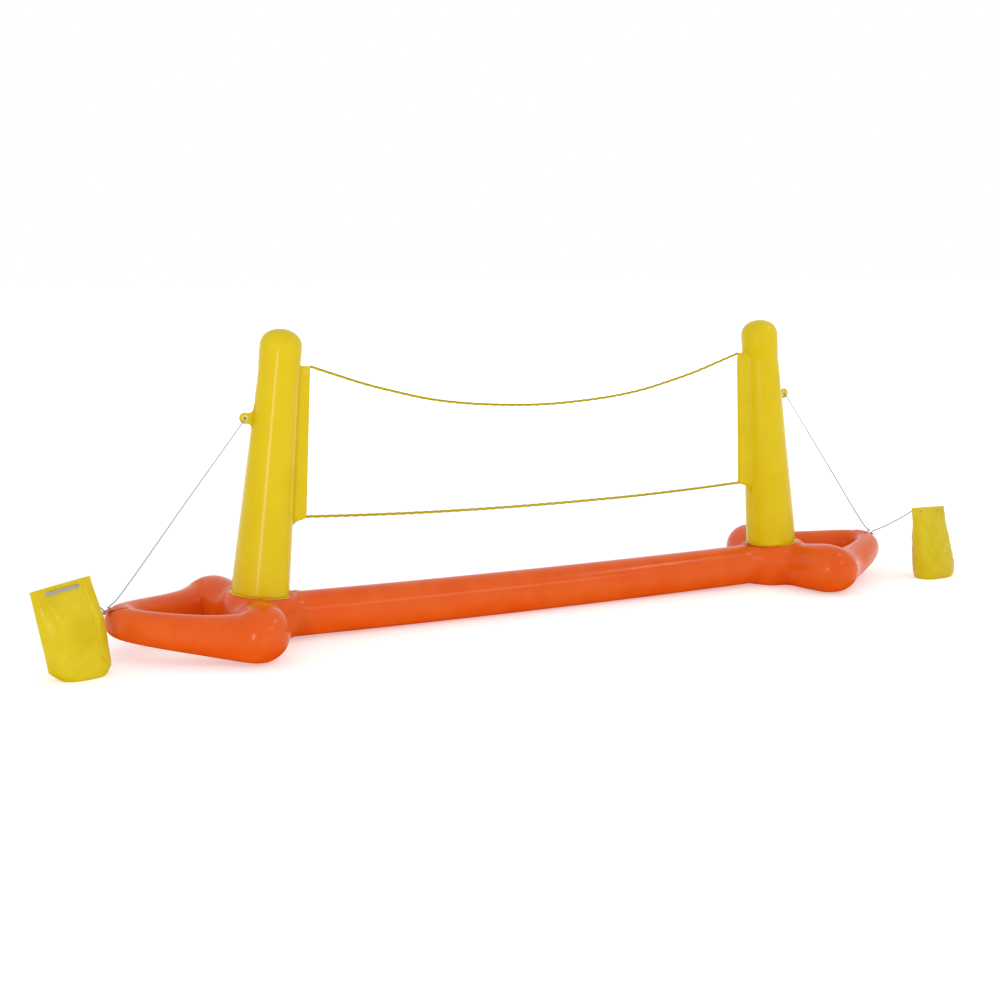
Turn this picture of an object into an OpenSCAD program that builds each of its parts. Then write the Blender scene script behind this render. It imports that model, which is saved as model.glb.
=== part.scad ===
// Inflatable pool volleyball set: a float with a ring at each end, two leaning
// poles, the two cords that edge the net, guy cords and two weight bags.
// Millimetres, +Z up. The origin is on the floor under the middle of the beam.
// X runs along the float and -Y is the side of play that the bags lie on.

/* [Float] */
// Length of the float from ring tip to ring tip
float_len = 2440; // [2300:10:2800]
// Diameter of the tube between the two rings
beam_d = 118; // [100:2:130]
// Rise of the ends of the tube, which the guy cords bend upwards
beam_bow = 7; // [0:1:12]
// Length of each ring, from its inner side to its tip
ring_len = 426; // [400:2:460]
// Half the spread of each ring's two corners, measured to their control points
corner_spread = 244; // [220:2:270]
// Fullness of the ring tube at its inner side, which carries the pole
inner_d = 104; // [92:2:112]
// Fullness of the ring tube at its two corners
corner_d = 165; // [140:5:170]
// Fullness of the ring tube along its arms
arm_d = 99; // [90:1:106]
// Fullness of the ring tube at its tip
tip_d = 73; // [66:1:80]
// Height by which the cords lift the tip of each ring
tip_lift = 73; // [50:1:90]

/* [Poles] */
// Distance from the inner side of a ring out to the middle of its pole's foot
pole_inset = 26; // [22:1:30]
// Lean of each pole towards the other, in degrees
pole_lean = 6.2; // [3:0.2:8]
// Length of a pole from its foot to the top of its dome
pole_len = 683; // [600:1:800]
// Diameter of a pole at its foot
pole_foot_d = 150; // [130:2:160]
// Diameter of a pole below its dome
pole_top_d = 100; // [84:2:116]
// How much fuller a pole is round the foot of its dome than its taper gives
head_swell = 4; // [0:0.5:6]
// Height of the dome
dome_h = 45; // [36:1:54]
// Radius of the rounded edge of a pole's foot
foot_round = 11; // [4:1:16]
// Width of the lip of the weld flange round a pole's foot
weld_lip = 4; // [2:0.5:8]
// Thickness of the welded sheet that the flanges and tabs are cut from
sheet_t = 2; // [1:0.5:3]
// How far the boot under a pole bulges out beyond the pole's foot
boot_bulge = 19; // [12:1:22]
// Radius of the flat on which a boot stands on the floor
boot_flat_r = 50; // [40:2:56]

/* [Net sleeves] */
// Distance of the upper end of a sleeve from the pole's top
sleeve_drop = 89; // [70:1:120]
// Length of the straight outer edge of a sleeve
sleeve_len = 395; // [340:5:420]
// How far a sleeve stands out from its pole at the upper end
sleeve_top_out = 29; // [24:1:40]
// How far a sleeve stands out from its pole at the lower end
sleeve_low_out = 41; // [30:1:50]
// Thickness of a sleeve across the net
sleeve_t = 22; // [16:1:30]
// Height of the fillet under the lower end of a sleeve
sleeve_fillet = 30; // [20:1:45]

/* [Guy tabs] */
// Height of a guy tab's eyelet above the foot, along the pole
guy_tab_s = 450; // [380:1:480]
// How far the eyelet stands out from the pole's skin
guy_tab_out = 22; // [17:1:30]
// Radius of the rounded nose of a guy tab
guy_nose_r = 15; // [12:1:18]
// Radius of the hollow flanks that widen a guy tab towards its root
guy_flank_r = 14; // [8:1:18]
// Length of a guy tab's welded root
guy_root_len = 70; // [50:2:90]
// Bore of the eyelets
eyelet_bore = 9; // [7:0.5:11]
// Outer diameter of the ring that is welded round an eyelet
eyelet_d = 17; // [14:0.5:22]

/* [Anchor tabs] */
// Slope of an anchor tab, downwards and outwards, in degrees
anchor_slope = 20; // [10:1:30]
// Width of an anchor tab
anchor_w = 24; // [20:1:34]
// Distance between its two holes
anchor_pitch = 13; // [12:0.5:15]

/* [Cords] */
// Diameter of the two net cords
net_cord_d = 8; // [6:0.5:10]
// Diameter of the guy cords and of the cords of the weight bags
guy_cord_d = 3.5; // [2.5:0.5:4.5]
// Diameter of a stopper knot in those cords
knot_d = 7; // [6:0.5:9]
// Diameter of the knot that holds a tether to its bag
bag_knot_d = 10; // [9:0.5:12]

/* [Weight bags] */
// Height of a filled bag
bag_h = 230; // [180:5:300]
// Width of a filled bag
bag_w = 156; // [120:2:190]
// Depth of a filled bag near its bottom
bag_deep = 92; // [60:2:110]
// Width of the closed upper edge
bag_top_w = 147; // [110:1:170]
// Distance of the lacing slots below the upper edge
slot_drop = 18; // [12:1:40]
// Distance between the two lacing slots
slot_pitch = 76; // [50:2:90]
// Distance of the left bag's middle from its anchor
left_reach = 156; // [150:2:260]
// Distance of the right bag's middle from its anchor
right_reach = 202; // [150:2:260]
// Bearing of the left bag from straight outwards, in degrees
left_bearing = 56; // [30:1:60]
// Bearing of the right bag from straight outwards, in degrees
right_bearing = 55; // [30:1:60]

/* [Valves] */
// Outer diameter of a valve stem
stem_d = 12; // [10:0.5:16]
// Height of a valve stem above the skin
stem_h = 14; // [10:1:20]
// Bore of a valve stem
stem_bore = 7; // [6:0.5:9]
// Diameter of the flange that welds a valve to the skin
valve_flange_d = 30; // [24:1:40]
// Running clearance between a plug and its stem
plug_gap = 0.7; // [0.6:0.1:1]
// Distance of the float's valve from the middle of the tube
base_valve_x = 380; // [200:10:500]
// Height of a pole's valve above its foot, along the pole
pole_valve_s = 95; // [60:5:140]

/* [Hidden] */

ORANGE = "#EE5A1B";
YELLOW = "#E6CC0C";
CLEAR_YELLOW = "#E9D33A";
WHITE_CORD = "#E4E4EC";

// Gap left between two welded skins, and depth of the flats that stand on the floor
seat_gap = 0.3;
floor_cut = 0.5;

// ---- float: the ring's control points and what follows from them ----
ring_sides = 20;
ring_steps = 8;
beam_sides = 24;
beam_rings = 12;
float_half = float_len / 2;
inner_r = (4 * inner_d + 2 * corner_d) / 12;
tip_r = (4 * tip_d + 2 * arm_d) / 12;
ring_inner_x = float_half - ring_len + inner_r;
corner_in = 44;
inner_ctrl_x = ring_inner_x - corner_in / 3;
arm_ctrl_x = inner_ctrl_x + 80;
arm_lift = 4;
arm_ctrl_y = 0.73 * corner_spread;
tip_x = float_half - tip_r;
tip_ctrl_x = (6 * tip_x - 2 * arm_ctrl_x) / 4;
tip_z = (4 * (tip_d / 2 + tip_lift) + 2 * (arm_d / 2 + arm_lift)) / 6 - floor_cut;

// One control point of the ring: x, y, height of the tube's middle, its radius
function ring_ctrl(x, y, d, lift) = [x, y, d / 2 + lift - floor_cut, d / 2];
RING_CTRL = [
    ring_ctrl(inner_ctrl_x, 0, inner_d, 0),
    ring_ctrl(inner_ctrl_x + corner_in, -corner_spread, corner_d, 0),
    ring_ctrl(arm_ctrl_x, -arm_ctrl_y, arm_d, arm_lift),
    ring_ctrl(tip_ctrl_x, 0, tip_d, tip_lift),
    ring_ctrl(arm_ctrl_x, arm_ctrl_y, arm_d, arm_lift),
    ring_ctrl(inner_ctrl_x + corner_in, corner_spread, corner_d, 0)
];
RING_COUNT = len(RING_CTRL) * ring_steps;
tip_index = RING_COUNT / 2;

// ---- poles ----
beam_half = ring_inner_x;
function beam_rise(x) = beam_bow * pow(x / beam_half, 2);
foot_x = float_half - ring_len + pole_inset;
foot_r = pole_foot_d / 2;
dome_r = pole_top_d / 2;
taper_len = pole_len - dome_h;
foot_lift = 2;
foot_z = beam_d - floor_cut + beam_rise(foot_x) + foot_lift;
function pole_r(s) = foot_r + (dome_r - foot_r) * s / taper_len;

// ---- guy tab and anchor tab ----
eyelet_rim_t = 1.2;
anchor_root_a = 60;
anchor_root = [tip_x + tip_r * cos(anchor_root_a), tip_z + tip_r * sin(anchor_root_a)];
anchor_hole = (float_half - anchor_root[0]) / cos(anchor_slope);
anchor_end = 9;
// Heights of the anchor tab's two faces at distance x from the middle of the float
function anchor_top(x) =
    anchor_root[1] + sheet_t / cos(anchor_slope) - (x - anchor_root[0]) * tan(anchor_slope);
function anchor_under(x) = anchor_top(x) - sheet_t / cos(anchor_slope);
guy_knot_z = anchor_top(float_half - anchor_pitch * cos(anchor_slope)) + 0.7;
tether_knot_z = anchor_under(float_half) - 0.75;

// ---- cord routes, given for the right side and mirrored to the left ----
// Half of each net cord, between feet that stand 820 to each side
net_reach = foot_x / 820;
UPPER_HALF = [
    for (p = [[0, 582], [120, 586], [240, 596], [340, 611], [430, 632], [520, 656], [600, 682], [674, 707]])
        [p[0] * net_reach, 0, p[1]]
];
LOWER_HALF = [
    for (p = [[0, 300], [170, 301], [340, 304], [520, 310], [690, 318]])
        [p[0] * net_reach, 0, p[1]]
];
// Guy cord: round the eyelet, measured outwards from the foot, then to the anchor, from the tip inwards
GUY_TOP = [
    for (p = [[30, 2, 582], [30, -1, 582], [32, -5, 579], [40, -5, 569]])
        [foot_x + p[0], p[1], p[2]]
];
GUY_LOW = [
    for (p = [[-30, 0, 147], [-18, 0, 137], [-13, 0, 134]])
        [float_half + p[0], p[1], p[2]]
];
GUY_ROUTE = concat(GUY_TOP, [lerp(GUY_TOP[3], GUY_LOW[0], 0.42)], GUY_LOW);
// Tethers, measured outwards from the tip of the float
LEFT_TETHER = [
    for (p = [
        [0, 0, 118], [0, 0, 122], [3, -4, 127], [15, -20, 139], [35, -45, 157],
        [55, -68, 176], [76, -90.5, 198], [88.5, -103.5, 216.5], [92.9, -114.1, 224]])
        [-float_half - p[0], p[1], p[2]]
];
RIGHT_TETHER = [
    for (p = [
        [0, 0, 118], [0, 0, 122], [1, -5, 127], [6, -28, 139], [13.5, -60, 156],
        [20.5, -90, 174.5], [28, -120, 194.5], [34, -141.2, 210], [35.7, -151.5, 217.4]])
        [float_half + p[0], p[1], p[2]]
];

// ---- weight bags: each entry is a share of the height, of the width and of the depth ----
BAG_PROFILE = [
    [0, 0.87, 0.80], [0.02, 0.95, 0.92], [0.06, 0.99, 0.99], [0.14, 1, 1], [0.3, 1, 0.96], [0.45, 1, 0.86],
    [0.6, 0.99, 0.70], [0.75, 0.97, 0.47], [0.87, 0.955, 0.26], [0.95, 0.945, 0.11], [1, 1, 0.05]
];
bag_sides = 24;
bag_square = 2.6;
bag_mouth_t = 5;
// Lean of each bag's top outwards, turn of its broad face and tilt of its upper edge
LEFT_POSE = [left_reach, left_bearing, 45, 12, -8];
RIGHT_POSE = [right_reach, right_bearing, -44, -6, 1];
slot_d = 8;

// ---- valves ----
strap_reach = 11;
strap_w = 6;
strap_t = 1.6;
cap_t = 2.5;
plug_nose = 6;

// ======================= helpers =======================

function lerp(a, b, t) = a + (b - a) * t;
function unit(v) = v / norm(v);

// Point at share t of span i of the closed cubic curve that the control points shape
function closed_curve(p, i, t) =
    let (n = len(p), a = p[(i + n - 1) % n], b = p[i], c = p[(i + 1) % n], d = p[(i + 2) % n])
    (pow(1 - t, 3) * a + (3 * pow(t, 3) - 6 * pow(t, 2) + 4) * b
        + (-3 * pow(t, 3) + 3 * pow(t, 2) + 3 * t + 1) * c + pow(t, 3) * d) / 6;

// Polygon round a circle of radius r at point c, square to direction t, with a flat side down
function hoop(c, t, r, sides) =
    let (n = unit(cross(t, abs(unit(t)[2]) > 0.95 ? [0, 1, 0] : [0, 0, 1])), u = cross(n, unit(t)))
    [for (j = [0:sides - 1]) let (a = 360 * (j + 0.5) / sides)
        c + r / cos(180 / sides) * (cos(a) * n + sin(a) * u)];

// Solid skinned over a list of hoops that all have the same number of points
module skin(hoops, closed = false) {
    rows = len(hoops);
    sides = len(hoops[0]);
    pts = [for (h = hoops) each h];
    walls = [for (i = [0:(closed ? rows - 1 : rows - 2)], j = [0:sides - 1])
        let (a = i * sides + j, b = i * sides + (j + 1) % sides,
             c = ((i + 1) % rows) * sides + (j + 1) % sides, d = ((i + 1) % rows) * sides + j)
        each [[a, b, c], [a, c, d]]];
    first = [for (j = [1:sides - 2]) [0, j + 1, j]];
    last = [for (j = [1:sides - 2]) let (k = (rows - 1) * sides) [k, k + j, k + j + 1]];
    polyhedron(points = pts, faces = closed ? walls : concat(walls, first, last));
}

// Direction of a route at point i, halfway between the runs that meet there
function route_dir(p, i) = unit(i == 0 ? p[1] - p[0]
    : i == len(p) - 1 ? p[i] - p[i - 1] : unit(p[i] - p[i - 1]) + unit(p[i + 1] - p[i]));

// Tube of diameter d along a route
module tube(route, d, sides = 8) {
    skin([for (i = [0:len(route) - 1]) hoop(route[i], route_dir(route, i), d / 2, sides)]);
}

// Route from the left end to the right end of a cord, from its right half
function mirrored(half) =
    concat([for (i = [len(half) - 1:-1:1]) [-half[i][0], half[i][1], half[i][2]]], half);

// Draws a piece of the right side on the side asked for: 1 right, -1 left
module on_side(side) {
    mirror([side < 0 ? 1 : 0, 0, 0]) children();
}

// Puts a piece in the right pole's own frame: +Z up its axis, +X outwards
module at_pole() {
    translate([foot_x, 0, foot_z]) rotate([0, -pole_lean, 0]) children();
}

// ======================= float =======================

function ring_at(k) =
    closed_curve(RING_CTRL, floor(k / ring_steps) % len(RING_CTRL), (k % ring_steps) / ring_steps);
function xyz(p) = [p[0], p[1], p[2]];
function ring_way(k) =
    xyz(ring_at((k + 1) % RING_COUNT)) - xyz(ring_at((k + RING_COUNT - 1) % RING_COUNT));
function ring_hoop(k, grow) = let (p = ring_at(k)) hoop(xyz(p), ring_way(k), p[3] + grow, ring_sides);
function on_floor(pts) = [for (p = pts) [p[0], p[1], max(p[2], 0)]];

module ring_body() {
    skin([for (k = [0:RING_COUNT - 1]) on_floor(ring_hoop(k, 0))], closed = true);
}

// Stretch of the ring's tube, a seating gap fuller, that its neighbours are cut to
module ring_seat(middle, reach) {
    skin([for (k = [-reach:reach]) ring_hoop((middle + k + RING_COUNT) % RING_COUNT, seat_gap)]);
}

function beam_hoop(x, grow) = hoop([x, 0, beam_d / 2 - floor_cut + beam_rise(x)],
    [1, 0, 2 * beam_bow * x / pow(beam_half, 2)], beam_d / 2 + grow, beam_sides);

module beam_body() {
    skin([for (i = [0:beam_rings]) on_floor(beam_hoop(lerp(-beam_half, beam_half, i / beam_rings), 0))]);
}

// Stretch of the tube from x = from to x = to, a seating gap fuller
module beam_seat(from, to) {
    skin([for (x = [from, to]) beam_hoop(x, seat_gap)]);
}

// Room that a pole's foot presses into the tube and the boot
module foot_seat() {
    at_pole() translate([0, 0, -seat_gap]) cylinder(h = 60, r = foot_r + weld_lip + 6, $fn = 96);
}

module base_beam() {
    color(ORANGE)
    difference() {
        beam_body();
        for (side = [-1, 1])
            on_side(side) {
                ring_seat(0, 5);
                foot_seat();
            }
    }
}

module float_ring(side) {
    color(ORANGE)
    on_side(side) ring_body();
}

// Swollen drum that fills the corners between tube and ring, from the floor up to a pole's foot
module pole_boot(side) {
    belly_z = beam_d * 0.47;
    belly_r = foot_r + boot_bulge;
    top_r = foot_r * 0.95;
    top_z = beam_d * 1.2;
    color(ORANGE)
    on_side(side)
    difference() {
        translate([foot_x, 0, 0])
        rotate_extrude($fn = 64)
        polygon([
            [0, 0],
            for (a = [-90:15:0]) [lerp(boot_flat_r, belly_r, cos(a)), belly_z * (1 + sin(a))],
            for (a = [15:15:90]) [lerp(top_r, belly_r, cos(a)), lerp(belly_z, top_z, sin(a))],
            [0, top_z]
        ]);
        beam_seat(foot_x - 2 * foot_r, beam_half + seat_gap);
        ring_seat(0, 6);
        foot_seat();
        // The ring's side towards its hole stays bare
        translate([ring_inner_x, -inner_r / 2, -1]) cube([inner_r, inner_r, inner_r]);
    }
}

// ======================= poles =======================

module pole_weld_flange(side) {
    color(CLEAR_YELLOW)
    on_side(side) at_pole()
    difference() {
        cylinder(h = sheet_t, r = foot_r + weld_lip, $fn = 96);
        translate([0, 0, -1]) cylinder(h = sheet_t + 2, r = foot_r - foot_round - 8, $fn = 96);
    }
}

module pole_body(grow = 0) {
    head_r = dome_r + head_swell + grow;
    rotate_extrude($fn = 96)
    polygon([
        [0, sheet_t - grow],
        for (a = [-90:15:0]) let (r = foot_round + grow)
            [pole_r(0) - foot_round + r * cos(a), sheet_t + foot_round + r * sin(a)],
        [pole_r(taper_len - dome_r) + grow, taper_len - dome_r],
        [pole_r(taper_len - dome_r / 2) + head_swell * 0.7 + grow, taper_len - dome_r / 2],
        for (a = [0:7.5:82.5]) [head_r * pow(cos(a), 0.95), taper_len + (dome_h + grow) * pow(sin(a), 0.95)],
        [0, taper_len + dome_h + grow]
    ]);
}

module pole(side) {
    color(YELLOW)
    on_side(side) at_pole() pole_body();
}

// ======================= net sleeves =======================

sleeve_top_s = pole_len - sleeve_drop;
sleeve_low_s = sleeve_top_s - sleeve_len;
sleeve_top_u = pole_r(sleeve_top_s) + sleeve_top_out;
sleeve_low_u = pole_r(sleeve_low_s) + sleeve_low_out;
sleeve_root_s = sleeve_low_s - sleeve_fillet;

// Outer edge of a sleeve at height s, where the fillet ends in the pole's skin
function sleeve_u(s) = s >= sleeve_low_s
    ? lerp(sleeve_low_u, sleeve_top_u, (s - sleeve_low_s) / sleeve_len)
    : let (f = (s - sleeve_root_s) / sleeve_fillet, skin_u = pole_r(s) + 1)
      lerp(skin_u, sleeve_low_u, 1 - sqrt(1 - f * f));

// One level of a sleeve: a rounded lobe from inside the pole to its outer edge
function sleeve_hoop(s) = let (inner = pole_r(s) - 12, outer = sleeve_u(s), half = sleeve_t / 2)
    concat(
        [[-inner, half, s], [-inner, -half, s]],
        [for (a = [-90:22.5:90]) [-(outer - half * 0.9) - half * 0.9 * cos(a), half * sin(a), s]]);

module net_sleeve(side) {
    color(YELLOW)
    on_side(side) at_pole()
    difference() {
        skin([for (s = [
            for (f = [0:0.2:0.8]) sleeve_root_s + f * sleeve_fillet,
            for (f = [0:0.25:1]) sleeve_low_s + f * sleeve_len]) sleeve_hoop(s)]);
        pole_body(seat_gap);
    }
}

// ======================= guy tabs and anchor tabs =======================

guy_tab_u = pole_r(guy_tab_s) + guy_tab_out;

// Draws a flat piece in the plane of the net, +X outwards and +Y up the pole
module in_net_plane() {
    at_pole() rotate([90, 0, 0]) children();
}

module guy_tab(side) {
    color(YELLOW)
    on_side(side)
    difference() {
        in_net_plane()
        translate([0, 0, -sheet_t / 2])
        linear_extrude(sheet_t)
        difference() {
            offset(r = -guy_flank_r, $fn = 48) offset(delta = guy_flank_r) {
                translate([guy_tab_u, guy_tab_s]) circle(r = guy_nose_r, $fn = 48);
                translate([guy_tab_u - guy_tab_out - 8, guy_tab_s - guy_root_len / 2])
                    square([9, guy_root_len]);
                translate([guy_tab_u - guy_tab_out - 8, guy_tab_s - guy_nose_r * 0.8])
                    square([guy_tab_out, guy_nose_r * 1.6]);
            }
            translate([guy_tab_u, guy_tab_s]) circle(d = eyelet_bore, $fn = 48);
        }
        at_pole() pole_body(seat_gap);
    }
}

module guy_eyelet(side) {
    color(CLEAR_YELLOW)
    on_side(side) in_net_plane()
    for (face = [-1, 1])
        translate([guy_tab_u, guy_tab_s, face * (sheet_t + eyelet_rim_t) / 2])
        difference() {
            cylinder(h = eyelet_rim_t, d = eyelet_d, center = true, $fn = 48);
            cylinder(h = eyelet_rim_t + 2, d = eyelet_bore, center = true, $fn = 48);
        }
}

// Patch of sheet that follows the ring's skin round its tip; its points are those of the under
// face, then those of the upper face
module ring_patch(reach, low, high) {
    cols = [for (k = [-reach:reach]) tip_index + k];
    rows = [for (j = [low:high]) j];
    n = len(rows);
    pts = [for (t = [seat_gap, sheet_t], k = cols) let (h = ring_hoop(k, t)) each [for (j = rows) h[j]]];
    up = len(cols) * n;
    cells = [for (i = [0:len(cols) - 2], j = [0:n - 2]) let (a = i * n + j) [a, a + 1, a + n + 1, a + n]];
    rim = concat(
        [for (i = [0:len(cols) - 2]) [i * n, (i + 1) * n]],
        [for (j = [0:n - 2]) [(len(cols) - 1) * n + j, (len(cols) - 1) * n + j + 1]],
        [for (i = [len(cols) - 1:-1:1]) [i * n + n - 1, (i - 1) * n + n - 1]],
        [for (j = [n - 1:-1:1]) [j, j - 1]]);
    polyhedron(points = pts, faces = concat(
        [for (c = cells) each [[c[3], c[2], c[1]], [c[3], c[1], c[0]]]],
        [for (c = cells) each [[c[0] + up, c[1] + up, c[2] + up], [c[0] + up, c[2] + up, c[3] + up]]],
        [for (e = rim) each [[e[0], e[1], e[1] + up], [e[0], e[1] + up, e[0] + up]]]));
}

module anchor_tab(side) {
    color(ORANGE)
    on_side(side) {
        ring_patch(1, 2, 5);
        difference() {
            translate([anchor_root[0], 0, anchor_root[1]])
            rotate([0, anchor_slope, 0])
            linear_extrude(sheet_t)
            difference() {
                hull() {
                    translate([-2, -anchor_w * 0.7]) square([2, anchor_w * 1.4]);
                    translate([anchor_hole + anchor_end - anchor_w / 2, 0]) circle(d = anchor_w, $fn = 48);
                }
                for (x = [anchor_hole, anchor_hole - anchor_pitch])
                    translate([x, 0]) circle(d = eyelet_bore, $fn = 48);
            }
            ring_seat(tip_index, 2);
        }
    }
}

// ======================= cords =======================

module upper_net_cord() {
    color(YELLOW) tube(mirrored(UPPER_HALF), net_cord_d);
}

module lower_net_cord() {
    color(YELLOW) tube(mirrored(LOWER_HALF), net_cord_d);
}

module guy_cord(side) {
    color(WHITE_CORD) on_side(side) tube(GUY_ROUTE, guy_cord_d);
}

// Stopper knot of two turns of diameter d, standing on z = 0
module knot(d) {
    turn = d / 4;
    rotate_extrude($fn = 48)
    polygon([
        [0, 0],
        for (i = [0, 1], a = [-90:20:(i == 0 ? 50 : 90)]) if (i == 0 || a >= -50)
            [turn + turn * cos(a), turn + i * 1.55 * turn + turn * sin(a)],
        [0, 3.55 * turn]
    ]);
}

// Knot behind the guy tab's eyelet and knot on the anchor tab
module guy_knots(side) {
    rear = sheet_t / 2 + eyelet_rim_t - 0.1;
    foot = GUY_ROUTE[len(GUY_ROUTE) - 1];
    color(WHITE_CORD)
    on_side(side) {
        in_net_plane() translate([guy_tab_u, guy_tab_s, -rear]) rotate([180, 0, 0]) knot(knot_d * 1.6);
        translate([foot[0] + 1, 0, guy_knot_z]) knot(knot_d);
    }
}

module tether(route) {
    color(WHITE_CORD) tube(route, guy_cord_d);
}

// Knot under the anchor tab and knot at the slot of the bag
module tether_knots(side, pose, face) {
    slot_x = -slot_pitch / 2;
    color(WHITE_CORD) {
        on_side(side) translate([float_half, 0, tether_knot_z]) rotate([180, 0, 0]) knot(knot_d);
        at_bag(side, pose)
        translate([bag_shift(pose, slot_share) + slot_x, 0, bag_h * slot_share + slot_x * tan(pose[4])])
        rotate([bag_slope - 90, 0, 0])
        translate([0, 0, bag_knot_out(face)]) knot(bag_knot_d);
    }
}

// ======================= weight bags =======================

// Puts a piece in a bag's own frame: +X outwards along its broad face, z = 0 the floor
module at_bag(side, pose) {
    on_side(side)
    translate([float_half + pose[0] * cos(pose[1]), -pose[0] * sin(pose[1]), 0])
    rotate([0, 0, -pose[3]]) children();
}

// Middle of a bag at share t of its height
function bag_shift(pose, t) = pose[2] * pow(t, 1.2);
function power(v, n) = sign(v) * pow(abs(v), n);

function bag_hoop(pose, p, grow) =
    let (t = p[0], a = (t == 1 ? bag_top_w : bag_w * p[1]) / 2 + grow,
         b = max(bag_deep * p[2], bag_mouth_t) / 2 + grow)
    [for (j = [0:bag_sides - 1]) let (q = -360 * j / bag_sides, u = a * power(cos(q), 2 / bag_square))
        [bag_shift(pose, t) + u, b * power(sin(q), 2 / bag_square), bag_h * t + u * t * t * tan(pose[4])]];

module bag_body(pose, grow = 0) {
    skin([for (p = BAG_PROFILE) bag_hoop(pose, p, grow)]);
}

// Depth of the bag at share t of its height
function bag_depth(t) = lookup(t, [for (p = BAG_PROFILE) [p[0], max(bag_deep * p[2], bag_mouth_t)]]);
slot_share = 1 - slot_drop / bag_h;
lacing_out = bag_depth(slot_share) / 2 + guy_cord_d * 1.2;
// Slope of the bag's broad face at the slots
bag_slope = atan((bag_depth(slot_share) - bag_depth(slot_share + 0.02)) / 2 / (0.02 * bag_h));

// How far the tether's knot stands from the bag's middle: on the face, or on the lacing there
function bag_knot_out(face) =
    let (share = pow(1 - pow(slot_pitch / bag_top_w, bag_square), 1 / bag_square))
    face > 0 ? bag_depth(slot_share) / 2 * share * cos(bag_slope) + 0.2
        : (lacing_out * 0.97 + guy_cord_d / 2) * cos(bag_slope) + seat_gap;

// Puts a piece at each lacing slot, square to the broad face
module at_slots(pose) {
    for (x = [-1, 1] * slot_pitch / 2)
        translate([bag_shift(pose, slot_share) + x, 0, bag_h * slot_share + x * tan(pose[4])])
        rotate([90, 0, 0]) children();
}

module bag(side, pose) {
    color(YELLOW)
    at_bag(side, pose)
    difference() {
        bag_body(pose);
        at_slots(pose) cylinder(h = bag_deep, d = slot_d, center = true, $fn = 32);
    }
}

// Each entry is a share of the distance between the slots and of the way out of the bag
LACING = [[-0.5, 0], [-0.5, 0.8], [-0.44, 0.98], [0, 1], [0.44, 0.98], [0.5, 0.8], [0.5, 0]];

// Doubled cord that shows between the two slots on one face of the bag
module bag_lacing(side, pose, face) {
    span = slot_pitch / cos(pose[4]);
    color(WHITE_CORD)
    at_bag(side, pose)
    translate([bag_shift(pose, slot_share), 0, bag_h * slot_share])
    rotate([0, -pose[4], 0])
    for (z = [-1, 1] * guy_cord_d * 0.53)
        tube([for (q = LACING) [q[0] * span, -face * q[1] * lacing_out, z]], guy_cord_d);
}

// ======================= valves =======================

// Stem on its flange, standing on the skin at z = 0, with the fixed half of its strap
module valve_stem_body() {
    difference() {
        union() {
            translate([0, 0, -8]) cylinder(h = 8 + sheet_t, d = valve_flange_d, $fn = 64);
            cylinder(h = stem_h, d = stem_d, $fn = 64);
            translate([-strap_reach, -strap_w / 2, stem_h - 3 * strap_t])
                cube([strap_reach, strap_w, strap_t]);
        }
        translate([0, 0, sheet_t]) cylinder(h = stem_h, d = stem_bore, $fn = 48);
    }
}

// Cap, nose and the moving half of the strap, drawn closed
module valve_plug_body() {
    nose_r = stem_bore / 2 - plug_gap;
    translate([0, 0, stem_h + seat_gap]) cylinder(h = cap_t, d = stem_d + 2, $fn = 64);
    translate([0, 0, stem_h + seat_gap - plug_nose])
        cylinder(h = plug_nose + 1, r1 = nose_r - 0.6, r2 = nose_r, $fn = 48);
    translate([-strap_reach, -strap_w / 2, stem_h + seat_gap])
        cube([strap_reach, strap_w, strap_t]);
    translate([-strap_reach - strap_t, -strap_w / 2, stem_h - 2 * strap_t + seat_gap])
        cube([strap_t, strap_w, 3 * strap_t]);
}

// Rear side of the tube between the rings
module at_base_valve() {
    translate([base_valve_x, beam_d / 2, beam_d / 2 - floor_cut + beam_rise(base_valve_x)])
    rotate([-90, 0, 0]) children();
}

// Rear side of a pole, near its foot
module at_pole_valve() {
    at_pole()
    translate([0, pole_r(pole_valve_s), pole_valve_s]) rotate([-90, 0, 0]) children();
}

module base_valve_stem() {
    color(CLEAR_YELLOW)
    difference() {
        at_base_valve() valve_stem_body();
        beam_seat(base_valve_x - 60, base_valve_x + 60);
    }
}

module base_valve_plug() {
    color(CLEAR_YELLOW) at_base_valve() valve_plug_body();
}

module pole_valve_stem(side) {
    color(CLEAR_YELLOW)
    on_side(side)
    difference() {
        at_pole_valve() valve_stem_body();
        at_pole() pole_body(seat_gap);
    }
}

module pole_valve_plug(side) {
    color(CLEAR_YELLOW) on_side(side) at_pole_valve() valve_plug_body();
}

// ======================= the part =======================

base_beam();
float_ring(-1);  // left_float_ring
float_ring(1);  // right_float_ring
pole_boot(-1);  // left_pole_boot
pole_boot(1);  // right_pole_boot
pole_weld_flange(-1);  // left_pole_weld_flange
pole_weld_flange(1);  // right_pole_weld_flange
pole(-1);  // left_pole
pole(1);  // right_pole
net_sleeve(-1);  // left_net_sleeve
net_sleeve(1);  // right_net_sleeve
guy_tab(-1);  // left_guy_tab
guy_tab(1);  // right_guy_tab
guy_eyelet(-1);  // left_guy_eyelet
guy_eyelet(1);  // right_guy_eyelet
anchor_tab(-1);  // left_anchor_tab
anchor_tab(1);  // right_anchor_tab
upper_net_cord();
lower_net_cord();
guy_cord(-1);  // left_guy_cord
guy_cord(1);  // right_guy_cord
guy_knots(-1);  // left_guy_knots
guy_knots(1);  // right_guy_knots
bag(-1, LEFT_POSE);  // left_bag
bag(1, RIGHT_POSE);  // right_bag
bag_lacing(-1, LEFT_POSE, 1);  // left_bag_lacing
bag_lacing(1, RIGHT_POSE, -1);  // right_bag_lacing
tether(LEFT_TETHER);  // left_tether
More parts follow.
